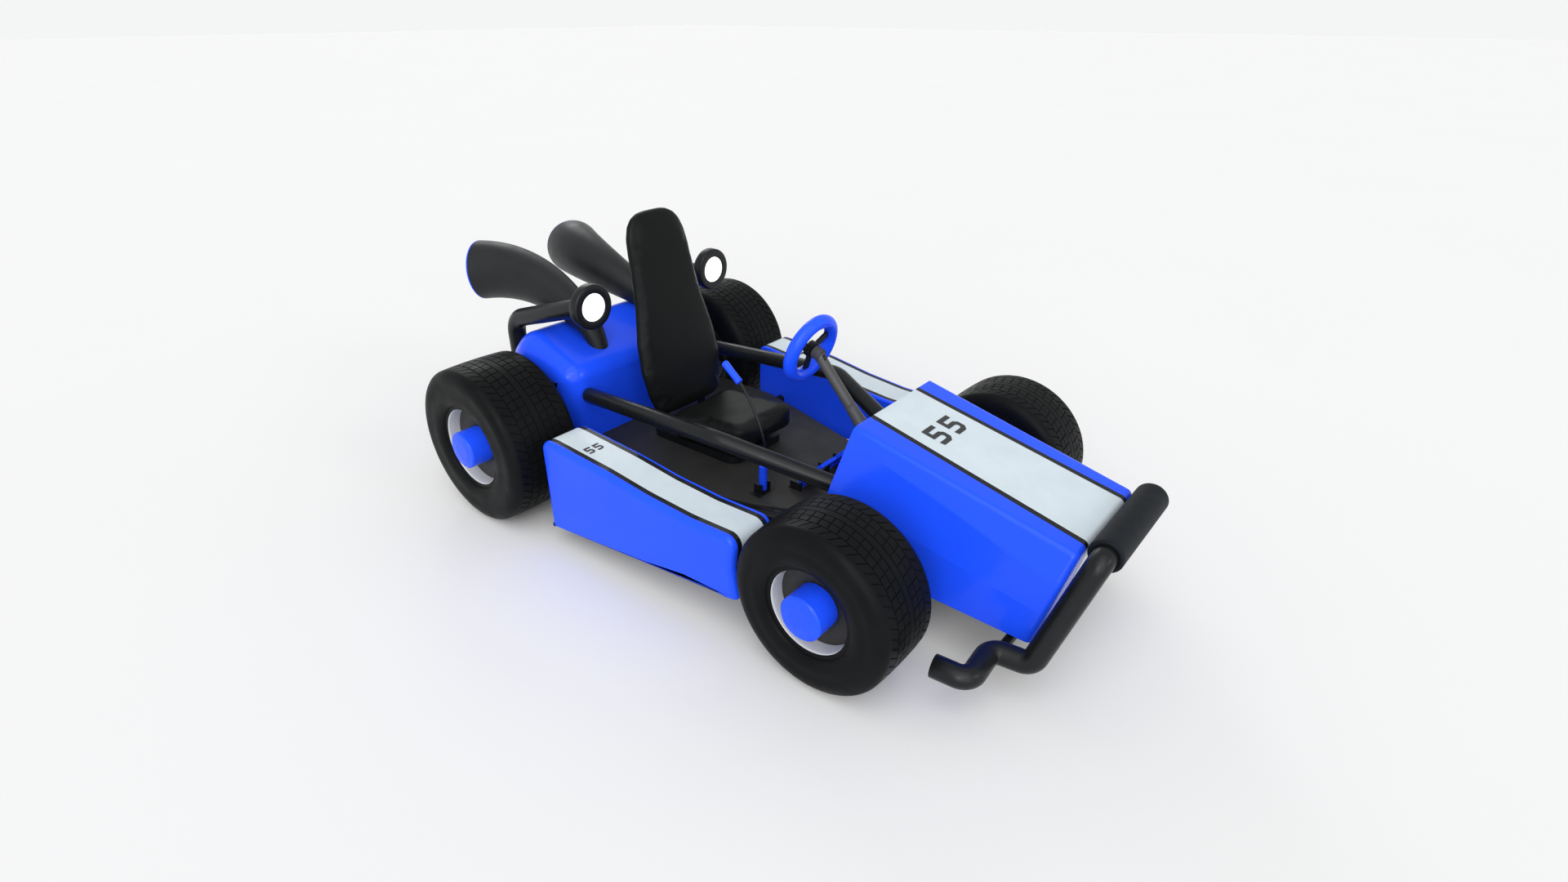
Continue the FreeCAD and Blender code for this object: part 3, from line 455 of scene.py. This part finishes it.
# ---------------------------------------------------------------- bodywork
def open_below(piece, limit=-0.8):
    """Remove the faces that look down, and give the skin a thickness and an inner side."""
    work = bmesh.new()
    work.from_mesh(piece.data)
    bmesh.ops.delete(work, geom=[f for f in work.faces if f.normal.z < limit], context="FACES")
    work.to_mesh(piece.data)
    work.free()
    piece.data.materials.append(moulding_inside)
    modify(piece, "SOLIDIFY", thickness=0.0045, offset=-1, use_even_offset=False, material_offset=1,
           material_offset_rim=0)
    return weigh(piece)


def cut_boxes(piece, boxes):
    """Cut box openings, given by two corners each, out of a skin."""
    work = bmesh.new()
    for low, high in boxes:
        for vert in bmesh.ops.create_cube(work, size=1)["verts"]:
            vert.co = at(*[a if c < 0 else b for a, b, c in zip(low, high, vert.co)])
    mesh = bpy.data.meshes.new("openings")
    work.to_mesh(mesh)
    work.free()
    cutter = bpy.data.objects.new("openings", mesh)
    bpy.context.scene.collection.objects.link(cutter)
    modify(piece, "BOOLEAN", object=cutter, operation="DIFFERENCE", solver="EXACT")
    bpy.context.view_layer.update()
    done = bpy.data.meshes.new_from_object(piece.evaluated_get(bpy.context.evaluated_depsgraph_get()))
    piece.modifiers.clear()
    piece.data = done
    bpy.data.objects.remove(cutter)


def side_pod(sign):
    side = "left" if sign > 0 else "right"
    corners = [(345, 52), (343, 356), (292, 356), (76, 338), (-76, 318), (-229, 307), (-396, 309),
               (-382, 213), (-395, 117), (-364, 110), (-97, 107), (106, 84)]
    radii = [10, 30, 60, 300, 400, 300, 32, 60, 14, 10, 0, 0]
    outline = rounded(corners, radii, 8, closed=True)

    def inner(y):
        return sign * (384 + 36 * (y + 400) / 800)

    def outer(y):
        return sign * (535 + 11 * (y + 400) / 303 if y < -97 else 546 + 14 * (y + 97) / 352)
    columns = round_columns(lambda y: abs(inner(y)), lambda y: abs(outer(y)), 8, 18)
    rings = [[(sign * x, y, z) for x, y, z in ring] for ring in pillow(outline, columns)]
    pod = make("pod_skin_" + side, "chassis", gel_pod, rings, caps=("first", "last"),
               stands_for=["side_pod_" + side], slot="blue_gelcoat")
    return open_below(pod, -0.75)


pods = [side_pod(1), side_pod(-1)]


def rear_cowl():
    corners = [(580, 204), (600, 300), (806, 300), (812, 455), (732, 537), (475.3, 452), (475.3, 204)]
    outline = rounded(corners, [0, 8, 0, 60, 90, 62, 0], 10, closed=True)
    flat = [n if z > 300 or y < 480 else Vector((0, 0)) for (y, z), n in outline]
    outline = [(p, n) for (p, _), n in zip(outline, flat)]
    columns = round_columns(lambda y: -345.0, lambda y: 345.0, 76, 76, 10)
    cowl = make("cowl_skin", "chassis", gel_plain, pillow(outline, columns), caps=("first", "last"),
                stands_for=["rear_cowl"], slot="blue_gelcoat")
    return open_below(cowl, -0.95)


rear_cowl()


def nose():
    back = {"y": -507, "z": 528, "half": [(246, 163), (241, 348), (204, 492), (194, 528)]}
    front = {"y": -1114, "z": 395, "half": [(229, 142), (223, 230), (216, 315), (180, 395)]}
    lean = -0.2237

    def outline(end):
        half = end["half"]
        points = half + [(-x, z) for x, z in reversed(half)]
        return rounded(points, [0, 90, 70, 22, 22, 70, 90, 0], 8)
    sections = outline(back), outline(front)
    middle = Vector((0, 300))
    lower_edge = 175.0
    edge = 18.0
    length = back["y"] - front["y"]
    stations = [(k / 24, 0.0) for k in range(24)]
    stations += [(1 - edge * (1 - math.sin(t)) / length, edge * (1 - math.cos(t)))
                 for t in [math.pi / 2 * k / 8 for k in range(9)]]
    rings = []
    for t, inset in stations:
        ring = []
        for (p, n), (q, m) in zip(*sections):
            normal = n.lerp(m, t).normalized()
            place = p.lerp(q, t)
            inward = -1 if normal.dot(place - middle) > 0 else 1
            x, z = place + normal * inset * inward
            rest_z = z if inset == 0 or z > lower_edge else place.y
            y0 = back["y"] + (front["y"] - back["y"]) * t
            z0 = back["z"] + (front["z"] - back["z"]) * t
            ring.append((x, y0 + lean * (rest_z - z0), rest_z))
        rings.append(ring)
    skin = make("nose_skin", "chassis", gel_nose, rings, closed_ring=False, caps=("last",),
                stands_for=["nose_fairing"], slot="blue_gelcoat")
    skin.data.materials.append(moulding_inside)
    modify(skin, "SOLIDIFY", thickness=0.0045, offset=-1, use_even_offset=False, material_offset=1,
           material_offset_rim=0)
    near, far = (-705, 100), (-520, 275)
    cut_boxes(skin, [((low_x, *near), (high_x, *far)) for low_x, high_x in ((200, 300), (-300, -200))])
    weigh(skin)
    wall = []
    for inside in (12.0, 16.5):
        ring = []
        for p, _ in sections[0]:
            x, z = p.x * (1 - 4 / 200), max(p.y - 5, 279)
            ring.append((x, back["y"] + lean * (z - back["z"]) - inside, z))
        wall.append(ring)
    make("nose_bulkhead", "chassis", gel_plain, wall, caps=("first", "last"), smooth=False,
         slot="blue_gelcoat")
    return skin


nose_skin = nose()


def skin_tree(piece):
    bpy.context.view_layer.update()
    return BVHTree.FromObject(piece, bpy.context.evaluated_depsgraph_get())


def digits(name, piece, centre, height, gap, width):
    """Two plain block fives, laid on the top of a moulding."""
    tree = skin_tree(piece)
    shape = [(0, 1), (0.98, 1), (0.98, 0.8), (0.26, 0.8), (0.26, 0.62), (0.76, 0.62), (1, 0.46), (1, 0.16),
             (0.76, 0), (0.06, 0), (0, 0.2), (0.64, 0.2), (0.74, 0.27), (0.74, 0.36), (0.64, 0.43), (0, 0.43)]
    work = bmesh.new()
    for k in (-1, 1):
        left = centre[0] + (gap / 2 if k > 0 else -gap / 2 - width)
        work.faces.new([work.verts.new(at(left + u * width, centre[1] + (v - 0.5) * height, centre[2]))
                        for u, v in shape])
    bmesh.ops.triangulate(work, faces=work.faces[:])
    bmesh.ops.subdivide_edges(work, edges=work.edges[:], cuts=3, use_grid_fill=True)
    for vert in work.verts:
        hit = tree.ray_cast(vert.co + Vector((0, 0, 0.1)), Vector((0, 0, -1)))
        vert.co.z = hit[0].z + 0.0004
    mesh = bpy.data.meshes.new(name)
    work.to_mesh(mesh)
    work.free()
    mesh.materials.append(digit_black)
    modify(add(name, mesh, "chassis"), "SOLIDIFY", thickness=0.0006, offset=-1)


digits("nose_number", nose_skin, (-1.5, -664, 500), 70, 24, 52)
digits("pod_number_right", pods[1], (-486, 192, 360), 34, 9, 22)
digits("pod_number_left", pods[0], (486, 192, 360), 34, 9, 22)


# ---------------------------------------------------------------- tubes, rails and trim
for sign, side in ((1, "left"), (-1, "right")):
    tube("rail_" + side, "chassis", black_tube,
         [(sign * 282, 473.5, 364.4), (sign * 295, -107, 403), (sign * 130, -559, 292)], 120, 25,
         ends=(14, 14), stands_for=["brace_rail_" + side], slot="black_tube")
    tube("lamp_arm_" + side, "chassis", black_tube,
         [(sign * 263, 456, 657), (sign * 263, 852, 533), (sign * 263, 852, 192)], 70, 30,
         ends=(2, 2), stands_for=["lamp_post_" + side], slot="black_tube")

half = [(0, -1159, 403), (186, -1159, 403), (266, -1078, 120), (279, -982, 120), (403, -990, 118),
        (415, -903, 122)]
loop = [(-x, y, z) for x, y, z in reversed(half)] + half[1:]
tube("bumper_loop", "chassis", black_tube, loop[:5] + loop[6:], 34, 29, wall=3, stands_for=["bumper_tube"],
     slot="black_tube")
lathe("bumper_grip", "chassis", foam_grip, (-159, -1159, 403), (1, 0, 0),
      [(0, 29.4), (0, 37), (1.2, 39.6), (4, 41)] + [(d, 41) for d in range(12, 309, 8)]
      + [(314, 41), (316.8, 39.6), (318, 37), (318, 29.4), (0, 29.4)],
      stands_for=["bumper_sleeve"], slot="foam_grip")

n = Vector((0, math.cos(math.radians(17.9)), math.sin(math.radians(17.9))))
ring_centre = Vector((0, -217, 609))
rings = []
for i in range(96):
    turn = 2 * math.pi * i / 96
    out = Vector((math.cos(turn), 0, 0)) + n.cross(Vector((1, 0, 0))) * math.sin(turn)
    rings.append([ring_centre + out * (88 + 20 * math.cos(t)) + n * 20 * math.sin(t)
                  for t in [2 * math.pi * k / 32 for k in range(32)]])
make("ring_grip", "steering_wheel", blue_paint, rings, closed_path=True, stands_for=["steering_ring"],
     slot="blue_paint")

head = ring_centre - n * 28
down = (Vector((0, -551, 262)) - head).normalized()
boot = [(172, 16.2), (172, 17), (190, 17.4), (210, 18.4), (230, 20.4), (250, 24), (268, 28.6), (286, 34.4),
        (302, 40), (318, 45.6), (334, 51)]
rings = []
for d, r in boot:
    ring = []
    for p in circle(head + down * d, down, r, 64):
        limit = -507 - 0.2237 * (p.z - 528) - 11.6
        if p.y < limit:
            p = p - down * ((p.y - limit) / down.y)
        ring.append(p)
    rings.append(ring)
make("boot_skin", "chassis", grey_tube, rings, stands_for=["steering_boot"], slot="grey_tube")


# ---------------------------------------------------------------- lamps
for sign, side in ((1, "left"), (-1, "right")):
    centre = (sign * 263, 410, 665)
    lathe("lamp_shell_" + side, "chassis", black_tube, centre, (0, 1, 0),
          [(3, 43), (0.8, 44.2), (0, 46), (0, 63), (1, 66.6), (3, 69), (6, 70), (27, 70), (31, 69),
           (36, 64.5), (42, 57), (47, 49), (50, 42), (52, 34), (52, 1)],
          stands_for=["lamp_housings"] if sign > 0 else (), slot="black_tube")
    lathe("lamp_bowl_" + side, "chassis", reflector, centre, (0, 1, 0),
          [(3, 43.1), (8, 43.4), (16, 41), (24, 33), (28, 18), (29, 1)], slot="steel")
    lathe("lamp_lens_" + side, "chassis", lamp_glass, centre, (0, 1, 0),
          [(2.6, 0.1), (2.8, 10), (3.4, 20), (4.6, 30), (6.2, 38), (7.6, 41.4), (8.6, 42.9), (12, 42.9),
           (12.4, 38), (12.6, 0.1)],
          stands_for=["lamp_lenses"] if sign > 0 else (), slot="lamp_glass")


# ---------------------------------------------------------------- exhaust trumpets
# Rings from inside the cowl up to the first station: offset back and up, direction in YZ, radius.
trumpet_root = [(-50, -98, 0.5, 0.86, 29), (-45, -78, 0.5, 0.86, 30), (-38, -57, 0.56, 0.83, 32),
                (-28, -37, 0.67, 0.74, 35), (-15, -17, 0.81, 0.58, 38)]


def quad(three, t):
    return three[0] * (1 - t) ** 2 + three[1] * (2 * t * (1 - t)) + three[2] * t ** 2


for sign, side in ((1, "left"), (-1, "right")):
    bend = [Vector((sign * x, y, z)) for x, y, z in ((151, 598, 541), (95, 906, 663), (200, 1103, 642))]
    sizes = (41.0, 89.0, 102.0)

    def station(t):
        slope = (bend[1] - bend[0]) * (1 - t) + (bend[2] - bend[1]) * t
        return quad(bend, t), slope.normalized(), quad(sizes, t)
    count = 72
    start, slope, size = station(0)
    outer = [circle(start + Vector((0, dy, dz)), (0, lean, rise), r, count)
             for dy, dz, lean, rise, r in trumpet_root]
    for k in range(41):
        outer.append(circle(*station(k / 40), count))
    mouth, out, size = station(1)
    make("trumpet_" + side, "chassis", black_satin, outer, stands_for=["exhaust_pipe_" + side],
         slot="black_tube")
    funnel = [circle(mouth + out * 0.2, out, size, count)]
    funnel += [circle(mouth + out * (3 + 3 * math.cos(a)), out, size - 3 + 3 * math.sin(a) - 0.1, count)
               for a in [math.pi * k / 8 for k in range(7, -1, -1)]][1:]
    for k in range(1, 21):
        centre, slope, r = station(1 - k * 0.03)
        funnel.append(circle(centre, slope, r - 7 - k * 0.25, count))
    make("trumpet_mouth_" + side, "chassis", blue_paint, funnel,
         stands_for=["exhaust_liners"] if sign > 0 else (), slot="blue_paint")
    deep = [circle(station(0.4)[0], station(0.4)[1], r, count) for r in (60, 30, 0.1)]
    make("trumpet_throat_" + side, "chassis", black_satin, deep, slot="black_tube")


# ---------------------------------------------------------------- wheels
def tyre_mesh(name, radius, half, opening, pitches):
    """A tyre with cut grooves, sipes and slanted shoulder lugs."""
    tread = half - 22
    depth = 2.6
    edges = [0.0, 0.10, 0.13, 0.36, 0.39, 0.62, 0.65, 0.93]
    columns = []
    for zone, (a, b) in enumerate(zip(edges, edges[1:])):
        inner, outer = a * tread, b * tread
        if zone % 2 == 0:
            steps = 3
            columns += [(inner + 0.2 + (outer - inner - 0.4) * k / steps, True, zone)
                        for k in range(steps + 1)]
        else:
            columns += [(inner + 0.6, False, -1), (outer - 0.6, False, -1)]
    columns = [c for c in columns if c[0] > 0.5] + [(tread * 0.93 + 1.5, None, -1)]
    columns = [(-x, rib, zone) for x, rib, zone in reversed(columns)] + columns

    def crown(x):
        return radius - 3.0 * (abs(x) / tread) ** 2.2
    slots = [(0.0, ""), (0.03, "s"), (0.15, "s"), (0.18, ""), (0.34, ""), (0.5, ""), (0.53, "m"), (0.60, "m"),
             (0.63, ""), (0.82, "")]
    side = []
    for k in range(1, 12):
        t = math.pi / 2 * k / 11
        side.append((tread * 0.93 + 1.5 + (half - tread * 0.93 - 1.5) * math.sin(t),
                     crown(tread * 0.93) - 40 * (1 - math.cos(t))))
    low = opening + 34
    high = side[-1][1]
    side += [(half - 0.6 * math.sin(math.pi * k / 5), high + (low - high) * k / 5) for k in range(1, 6)]
    for k in range(1, 9):
        t = math.pi / 2 * k / 8
        side.append((half - 14 * (1 - math.cos(t)), low - 34 * math.sin(t)))
    side += [(half - 15, opening - 3), (half - 15.8, opening - 7), (half - 16.2, opening - 11)]
    rows = []
    for pitch in range(pitches):
        for t, cut in slots:
            row = []
            for x, rib, zone in columns:
                share = abs(x) / tread
                lean = max(0.0, share - 0.65) * 2.1 - min(share, 0.65) * 0.5
                mirror, offset = (1, 0) if x > 0 else (-1, 0.5)
                turn = 2 * math.pi * (pitch + t + lean * mirror + offset) / pitches
                slotted = (cut == "s" and zone == 6) or (cut == "m" and zone in (2, 4))
                sunk = rib is False or (rib and slotted)
                r = crown(x) - (depth if sunk else 0.0)
                row.append((x, r * math.cos(turn), r * math.sin(turn)))
            wall = [[], []]
            for which, direction in enumerate((-1, 1)):
                lean = (0.93 - 0.65) * 2.1 - 0.65 * 0.5
                turn = 2 * math.pi * (pitch + t + lean * direction + (0.5 if direction < 0 else 0)) / pitches
                wall[which] = [(direction * x, r * math.cos(turn), r * math.sin(turn)) for x, r in side]
            rows.append(list(reversed(wall[0])) + row + wall[1])
    count = len(rows[0])
    verts = [Vector(p) / 1000 for row in rows for p in row]
    faces = []
    for j in range(len(rows)):
        here, there = j * count, (j + 1) % len(rows) * count
        faces += [(here + i, here + i + 1, there + i + 1, there + i) for i in range(count - 1)]
    mesh = bpy.data.meshes.new(name)
    mesh.from_pydata(verts, [], faces)
    mesh.update()
    work = bmesh.new()
    work.from_mesh(mesh)
    bmesh.ops.recalc_face_normals(work, faces=work.faces)
    sharp = math.radians(32)
    for edge in work.edges:
        if len(edge.link_faces) == 2 and edge.calc_face_angle(0) > sharp:
            edge.smooth = False
    work.to_mesh(mesh)
    work.free()
    mesh.polygons.foreach_set("use_smooth", [True] * len(mesh.polygons))
    mesh.materials.append(tyre_rubber)
    return mesh


wheels = {
    "front": {"x": 461, "r": 227, "half": 108, "opening": 123, "y": front_axle_y, "pitches": 52},
    "rear": {"x": 511, "r": 254, "half": 125, "opening": 137, "y": rear_axle_y, "pitches": 56},
}
for end, wheel in wheels.items():
    mesh = tyre_mesh(end + "_tyre_mesh", wheel["r"], wheel["half"], wheel["opening"], wheel["pitches"])
    for sign, side in ((1, "left"), (-1, "right")):
        body = "rear_axle" if end == "rear" else "front_wheel_" + side
        tail = "_%s_%s" % (end, side)
        tyre = bpy.data.objects.new("tyre" + tail, mesh)
        bpy.context.scene.collection.objects.link(tyre)
        tyre.matrix_world = (Matrix.Translation(at(sign * wheel["x"], wheel["y"], wheel["r"]))
                             @ Matrix.Rotation(0 if sign > 0 else math.pi, 4, "Z"))
        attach(tyre, body)
        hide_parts("%s_tyre_%s" % (end, side))
        centre = (sign * wheel["x"], wheel["y"], wheel["r"])
        axis = (sign, 0, 0)
        lip, bore = wheel["half"] - 13, wheel["opening"] - 11.2
        lathe("rim_barrel" + tail, body, white_paint, centre, axis,
              [(-lip + 4, bore + 3.6), (-lip + 3.4, bore + 2), (-lip + 4, bore), (-lip + 10, bore - 1),
               (-lip + 30, bore - 1.4), (0, bore - 2), (lip - 30, bore - 1.4), (lip - 10, bore - 1),
               (lip - 4, bore), (lip - 3.4, bore + 2), (lip - 4, bore + 3.6), (0, bore + 3.4),
               (-lip + 4, bore + 3.6)],
              count=112, stands_for=["%s_rim_%s" % (end, side)], slot="white_paint")
        face = lip - 43
        lathe("rim_mesh" + tail, body, wheel_mesh, centre, axis,
              [(face, 50), (face, bore - 6), (face - 1, bore - 1.8), (face - 5, bore - 1.8), (face - 5, 50),
               (face, 50)], count=112, slot="black_plastic")


# ---------------------------------------------------------------- hand lever
points = [Vector(p) for p in ((-178, -183, 214), (-178, -193, 352), (-173, -150, 456), (-160, -84, 523))]
low, high = Vector((-160.5, -86, 521)), Vector((-153, -20, 564))


def smooth_line(points, steps=14):
    """Points along a smooth curve through the given ones."""
    padded = [points[0] * 2 - points[1]] + points + [points[-1] * 2 - points[-2]]
    made = []
    for a, b, c, d in zip(padded, padded[1:], padded[2:], padded[3:]):
        for k in range(steps):
            t = k / steps
            made.append(0.5 * (b * 2 + (c - a) * t + (a * 2 - b * 5 + c * 4 - d) * t * t
                               + (b * 3 - a - c * 3 + d) * t ** 3))
    return made + [points[-1]]


rod_radius = 4
line = smooth_line(points + [low + (high - low) * 0.3])
rings = []
for i, p in enumerate(line):
    direction = (line[min(i + 1, len(line) - 1)] - line[max(i - 1, 0)]).normalized()
    across = Vector((1, 0, 0)) - direction * direction.x
    across.normalize()
    up = direction.cross(across)
    rings.append([p + (across * math.cos(t) + up * math.sin(t)) * rod_radius
                  for t in [2 * math.pi * k / 20 for k in range(20)]])
make("lever_cable", "hand_lever", black_tube, rings, caps=("first", "last"), stands_for=["lever_rod"],
     slot="black_tube")
tube("lever_sleeve", "hand_lever", blue_paint,
     [(-178, -183, 209), (-177.4, -184, 250), (-177, -184.5, 292)], 30, 12.3, ends=(4, 4), slot="blue_paint")
grip = high - low
lathe("lever_handle", "hand_lever", blue_paint, low, grip,
      [(0, 0.1), (0, 7), (0.6, 9), (2.2, 10.6), (4.6, 11), (20, 10.4), (40, 10.4), (60, 10.8)]
      + [(grip.length - 6 + 6 * math.sin(t), 5 + 6 * math.cos(t))
         for t in [math.pi / 2 * k / 6 for k in range(7)]]
      + [(grip.length, 0.1)], count=40, stands_for=["lever_grip"], slot="blue_paint")


# ---------------------------------------------------------------- seat
pad_voxel = 0.006
pad_pressure = 3.0
back_give, cushion_give = 0.007, 0.006


def simulate(piece, voxel, pressure, cap, frames=20):
    """Swell a closed pad with cloth pressure, holding each point within cap of its start."""
    modify(piece, "REMESH", mode="VOXEL", voxel_size=voxel)
    bpy.context.view_layer.update()
    mesh = bpy.data.meshes.new_from_object(piece.evaluated_get(bpy.context.evaluated_depsgraph_get()))
    piece.modifiers.clear()
    piece.data = mesh
    rest = [v.co.copy() for v in mesh.vertices]
    cloth = modify(piece, "CLOTH")
    cloth.settings.quality = 4
    cloth.settings.mass = 0.3
    cloth.settings.tension_stiffness = 40
    cloth.settings.compression_stiffness = 40
    cloth.settings.bending_stiffness = 8
    cloth.settings.use_pressure = True
    cloth.settings.uniform_pressure_force = pressure
    cloth.settings.effector_weights.gravity = 0
    cloth.point_cache.frame_start = 1
    cloth.point_cache.frame_end = frames
    for number in range(1, frames + 1):
        bpy.context.scene.frame_set(number)
    done = bpy.data.meshes.new_from_object(piece.evaluated_get(bpy.context.evaluated_depsgraph_get()))
    for vert, start in zip(done.vertices, rest):
        moved = vert.co - start
        if moved.length > cap:
            vert.co = start + moved * (cap / moved.length)
    piece.modifiers.clear()
    piece.data = done
    bpy.context.scene.frame_set(1)
    modify(piece, "SMOOTH", factor=0.5, iterations=6)
    modify(piece, "SUBSURF", levels=1, render_levels=1)
    piece.data.polygons.foreach_set("use_smooth", [True] * len(piece.data.polygons))
    piece.data.materials.clear()
    piece.data.materials.append(seat_vinyl)


def superellipse(half_x, half_y, count, power):
    made = []
    for i in range(count):
        t = 2 * math.pi * i / count
        c, s = math.cos(t), math.sin(t)
        made.append((half_x * math.copysign(abs(c) ** (2 / power), c),
                     half_y * math.copysign(abs(s) ** (2 / power), s)))
    return made


def seat_face(z):
    return 274 + 0.2 * (z - 317.5)


def back_rows():
    rows = [(284, 112, 30), (292, 130, 40), (304, 146, 46), (360, 165, 49), (430, 176, 50), (521, 170, 49),
            (635, 145, 47), (737, 133, 45), (800, 128, 44), (845, 120, 43), (880, 105, 40), (900, 86, 36),
            (912, 62, 28), (917, 36, 18)]
    return rows


rings = []
for z, half_width, depth in back_rows():
    middle = seat_face(z) + 26
    rings.append([(x, middle + y, z) for x, y in superellipse(half_width, depth / 2, 64, 3.4)])
seat_back = make("seat_back_pad", "chassis", seat_vinyl, rings, caps=("first", "last"),
                 stands_for=["seat_back"], slot="black_vinyl")
simulate(seat_back, pad_voxel, pad_pressure, back_give)


def cushion_outline(inset):
    """The seat cushion's plan with rounded corners, as (x, y) points."""
    points = [(-137, -62), (137, -62), (150, 250), (-150, 250)]
    outline = rounded(points, [48, 48, 52, 52], 10, closed=True)
    return [(p.x - n.x * inset, p.y - n.y * inset) for p, n in outline]


rings = []
for inset, share in ((34, 0.0), (10, 0.0), (5, 0.06), (3, 0.2), (4, 0.5), (4, 0.78), (7, 0.92), (16, 0.985),
                     (40, 1.0)):
    ring = []
    for x, y in cushion_outline(inset):
        low_z = 266 if y < -40 else 266 - 34 * min(1.0, (y + 40) / 200)
        high_z = 337 - 24 * (y + 62) / 312
        ring.append((x, y, low_z + (high_z - low_z) * share))
    rings.append(ring)
cushion = make("seat_cushion_pad", "chassis", seat_vinyl, rings, caps=("first", "last"),
               stands_for=["seat_cushion"], slot="black_vinyl")
simulate(cushion, pad_voxel, pad_pressure, cushion_give)


# ---------------------------------------------------------------- floor, light and camera
floor_look = Shader("studio_floor", (0.73, 0.73, 0.73), 0.95, Specular_IOR_Level=0.1)
floor_look.vary_color(0.6, 0.004)
floor_mesh = bpy.data.meshes.new("studio_floor")
reach, drop = 60.0, -0.0005
floor_mesh.from_pydata([(x, y, drop) for x, y in ((-reach, -reach), (reach, -reach), (reach, reach),
                                                  (-reach, reach))], [], [(0, 1, 2, 3)])
floor_mesh.materials.append(floor_look.material)
floor = bpy.data.objects.new("studio_floor", floor_mesh)
bpy.context.scene.collection.objects.link(floor)

world = bpy.data.worlds.new("studio")
bpy.context.scene.world = world
world.use_nodes = True
sky = world.node_tree
background = sky.nodes["Background"]
direction = sky.nodes.new("ShaderNodeTexCoord").outputs["Generated"]
split = sky.nodes.new("ShaderNodeSeparateXYZ")
sky.links.new(direction, split.inputs[0])
height = sky.nodes.new("ShaderNodeMapRange")
sky.links.new(split.outputs[2], height.inputs[0])
dome = {"From Min": 0.02, "From Max": 0.4, "To Min": 0.92, "To Max": 0.72}
for name, value in dome.items():
    height.inputs[name].default_value = value
sky.links.new(height.outputs[0], background.inputs[1])
background.inputs[0].default_value = (0.99, 0.995, 1.0, 1)


def sun(name, direction, strength, spread):
    data = bpy.data.lights.new(name, "SUN")
    data.energy = strength
    data.angle = math.radians(spread)
    lamp = bpy.data.objects.new(name, data)
    lamp.rotation_euler = Vector(direction).to_track_quat("-Z", "Y").to_euler()
    bpy.context.scene.collection.objects.link(lamp)


sun("key_sun", (0.45, 0.3, -0.85), 1.0, 55)
sun("fill_sun", (0.68, 0.56, -0.35), 1.3, 60)
sun("left_sun", (4.2, 1.6, -2.2), 0.35, 18)
sun("front_sun", (-0.6, 4.8, -2.2), 0.3, 18)
sun("back_sun", (-2.4, -3.6, -2.2), 0.3, 20)

camera_data = bpy.data.cameras.new("camera")
camera_data.lens = 18.669375
camera_data.sensor_width = 36
camera_data.shift_x = 0.00026
camera_data.shift_y = 0.00104
camera_data.clip_end = 200
camera = bpy.data.objects.new("camera", camera_data)
camera.location = at(-1734.5, -1532.6, 1468.9)
camera.rotation_euler = Vector((0.68296, 0.55744, -0.47204)).to_track_quat("-Z", "Y").to_euler()
bpy.context.scene.collection.objects.link(camera)
bpy.context.scene.camera = camera
bpy.context.scene.view_settings.view_transform = "Standard"
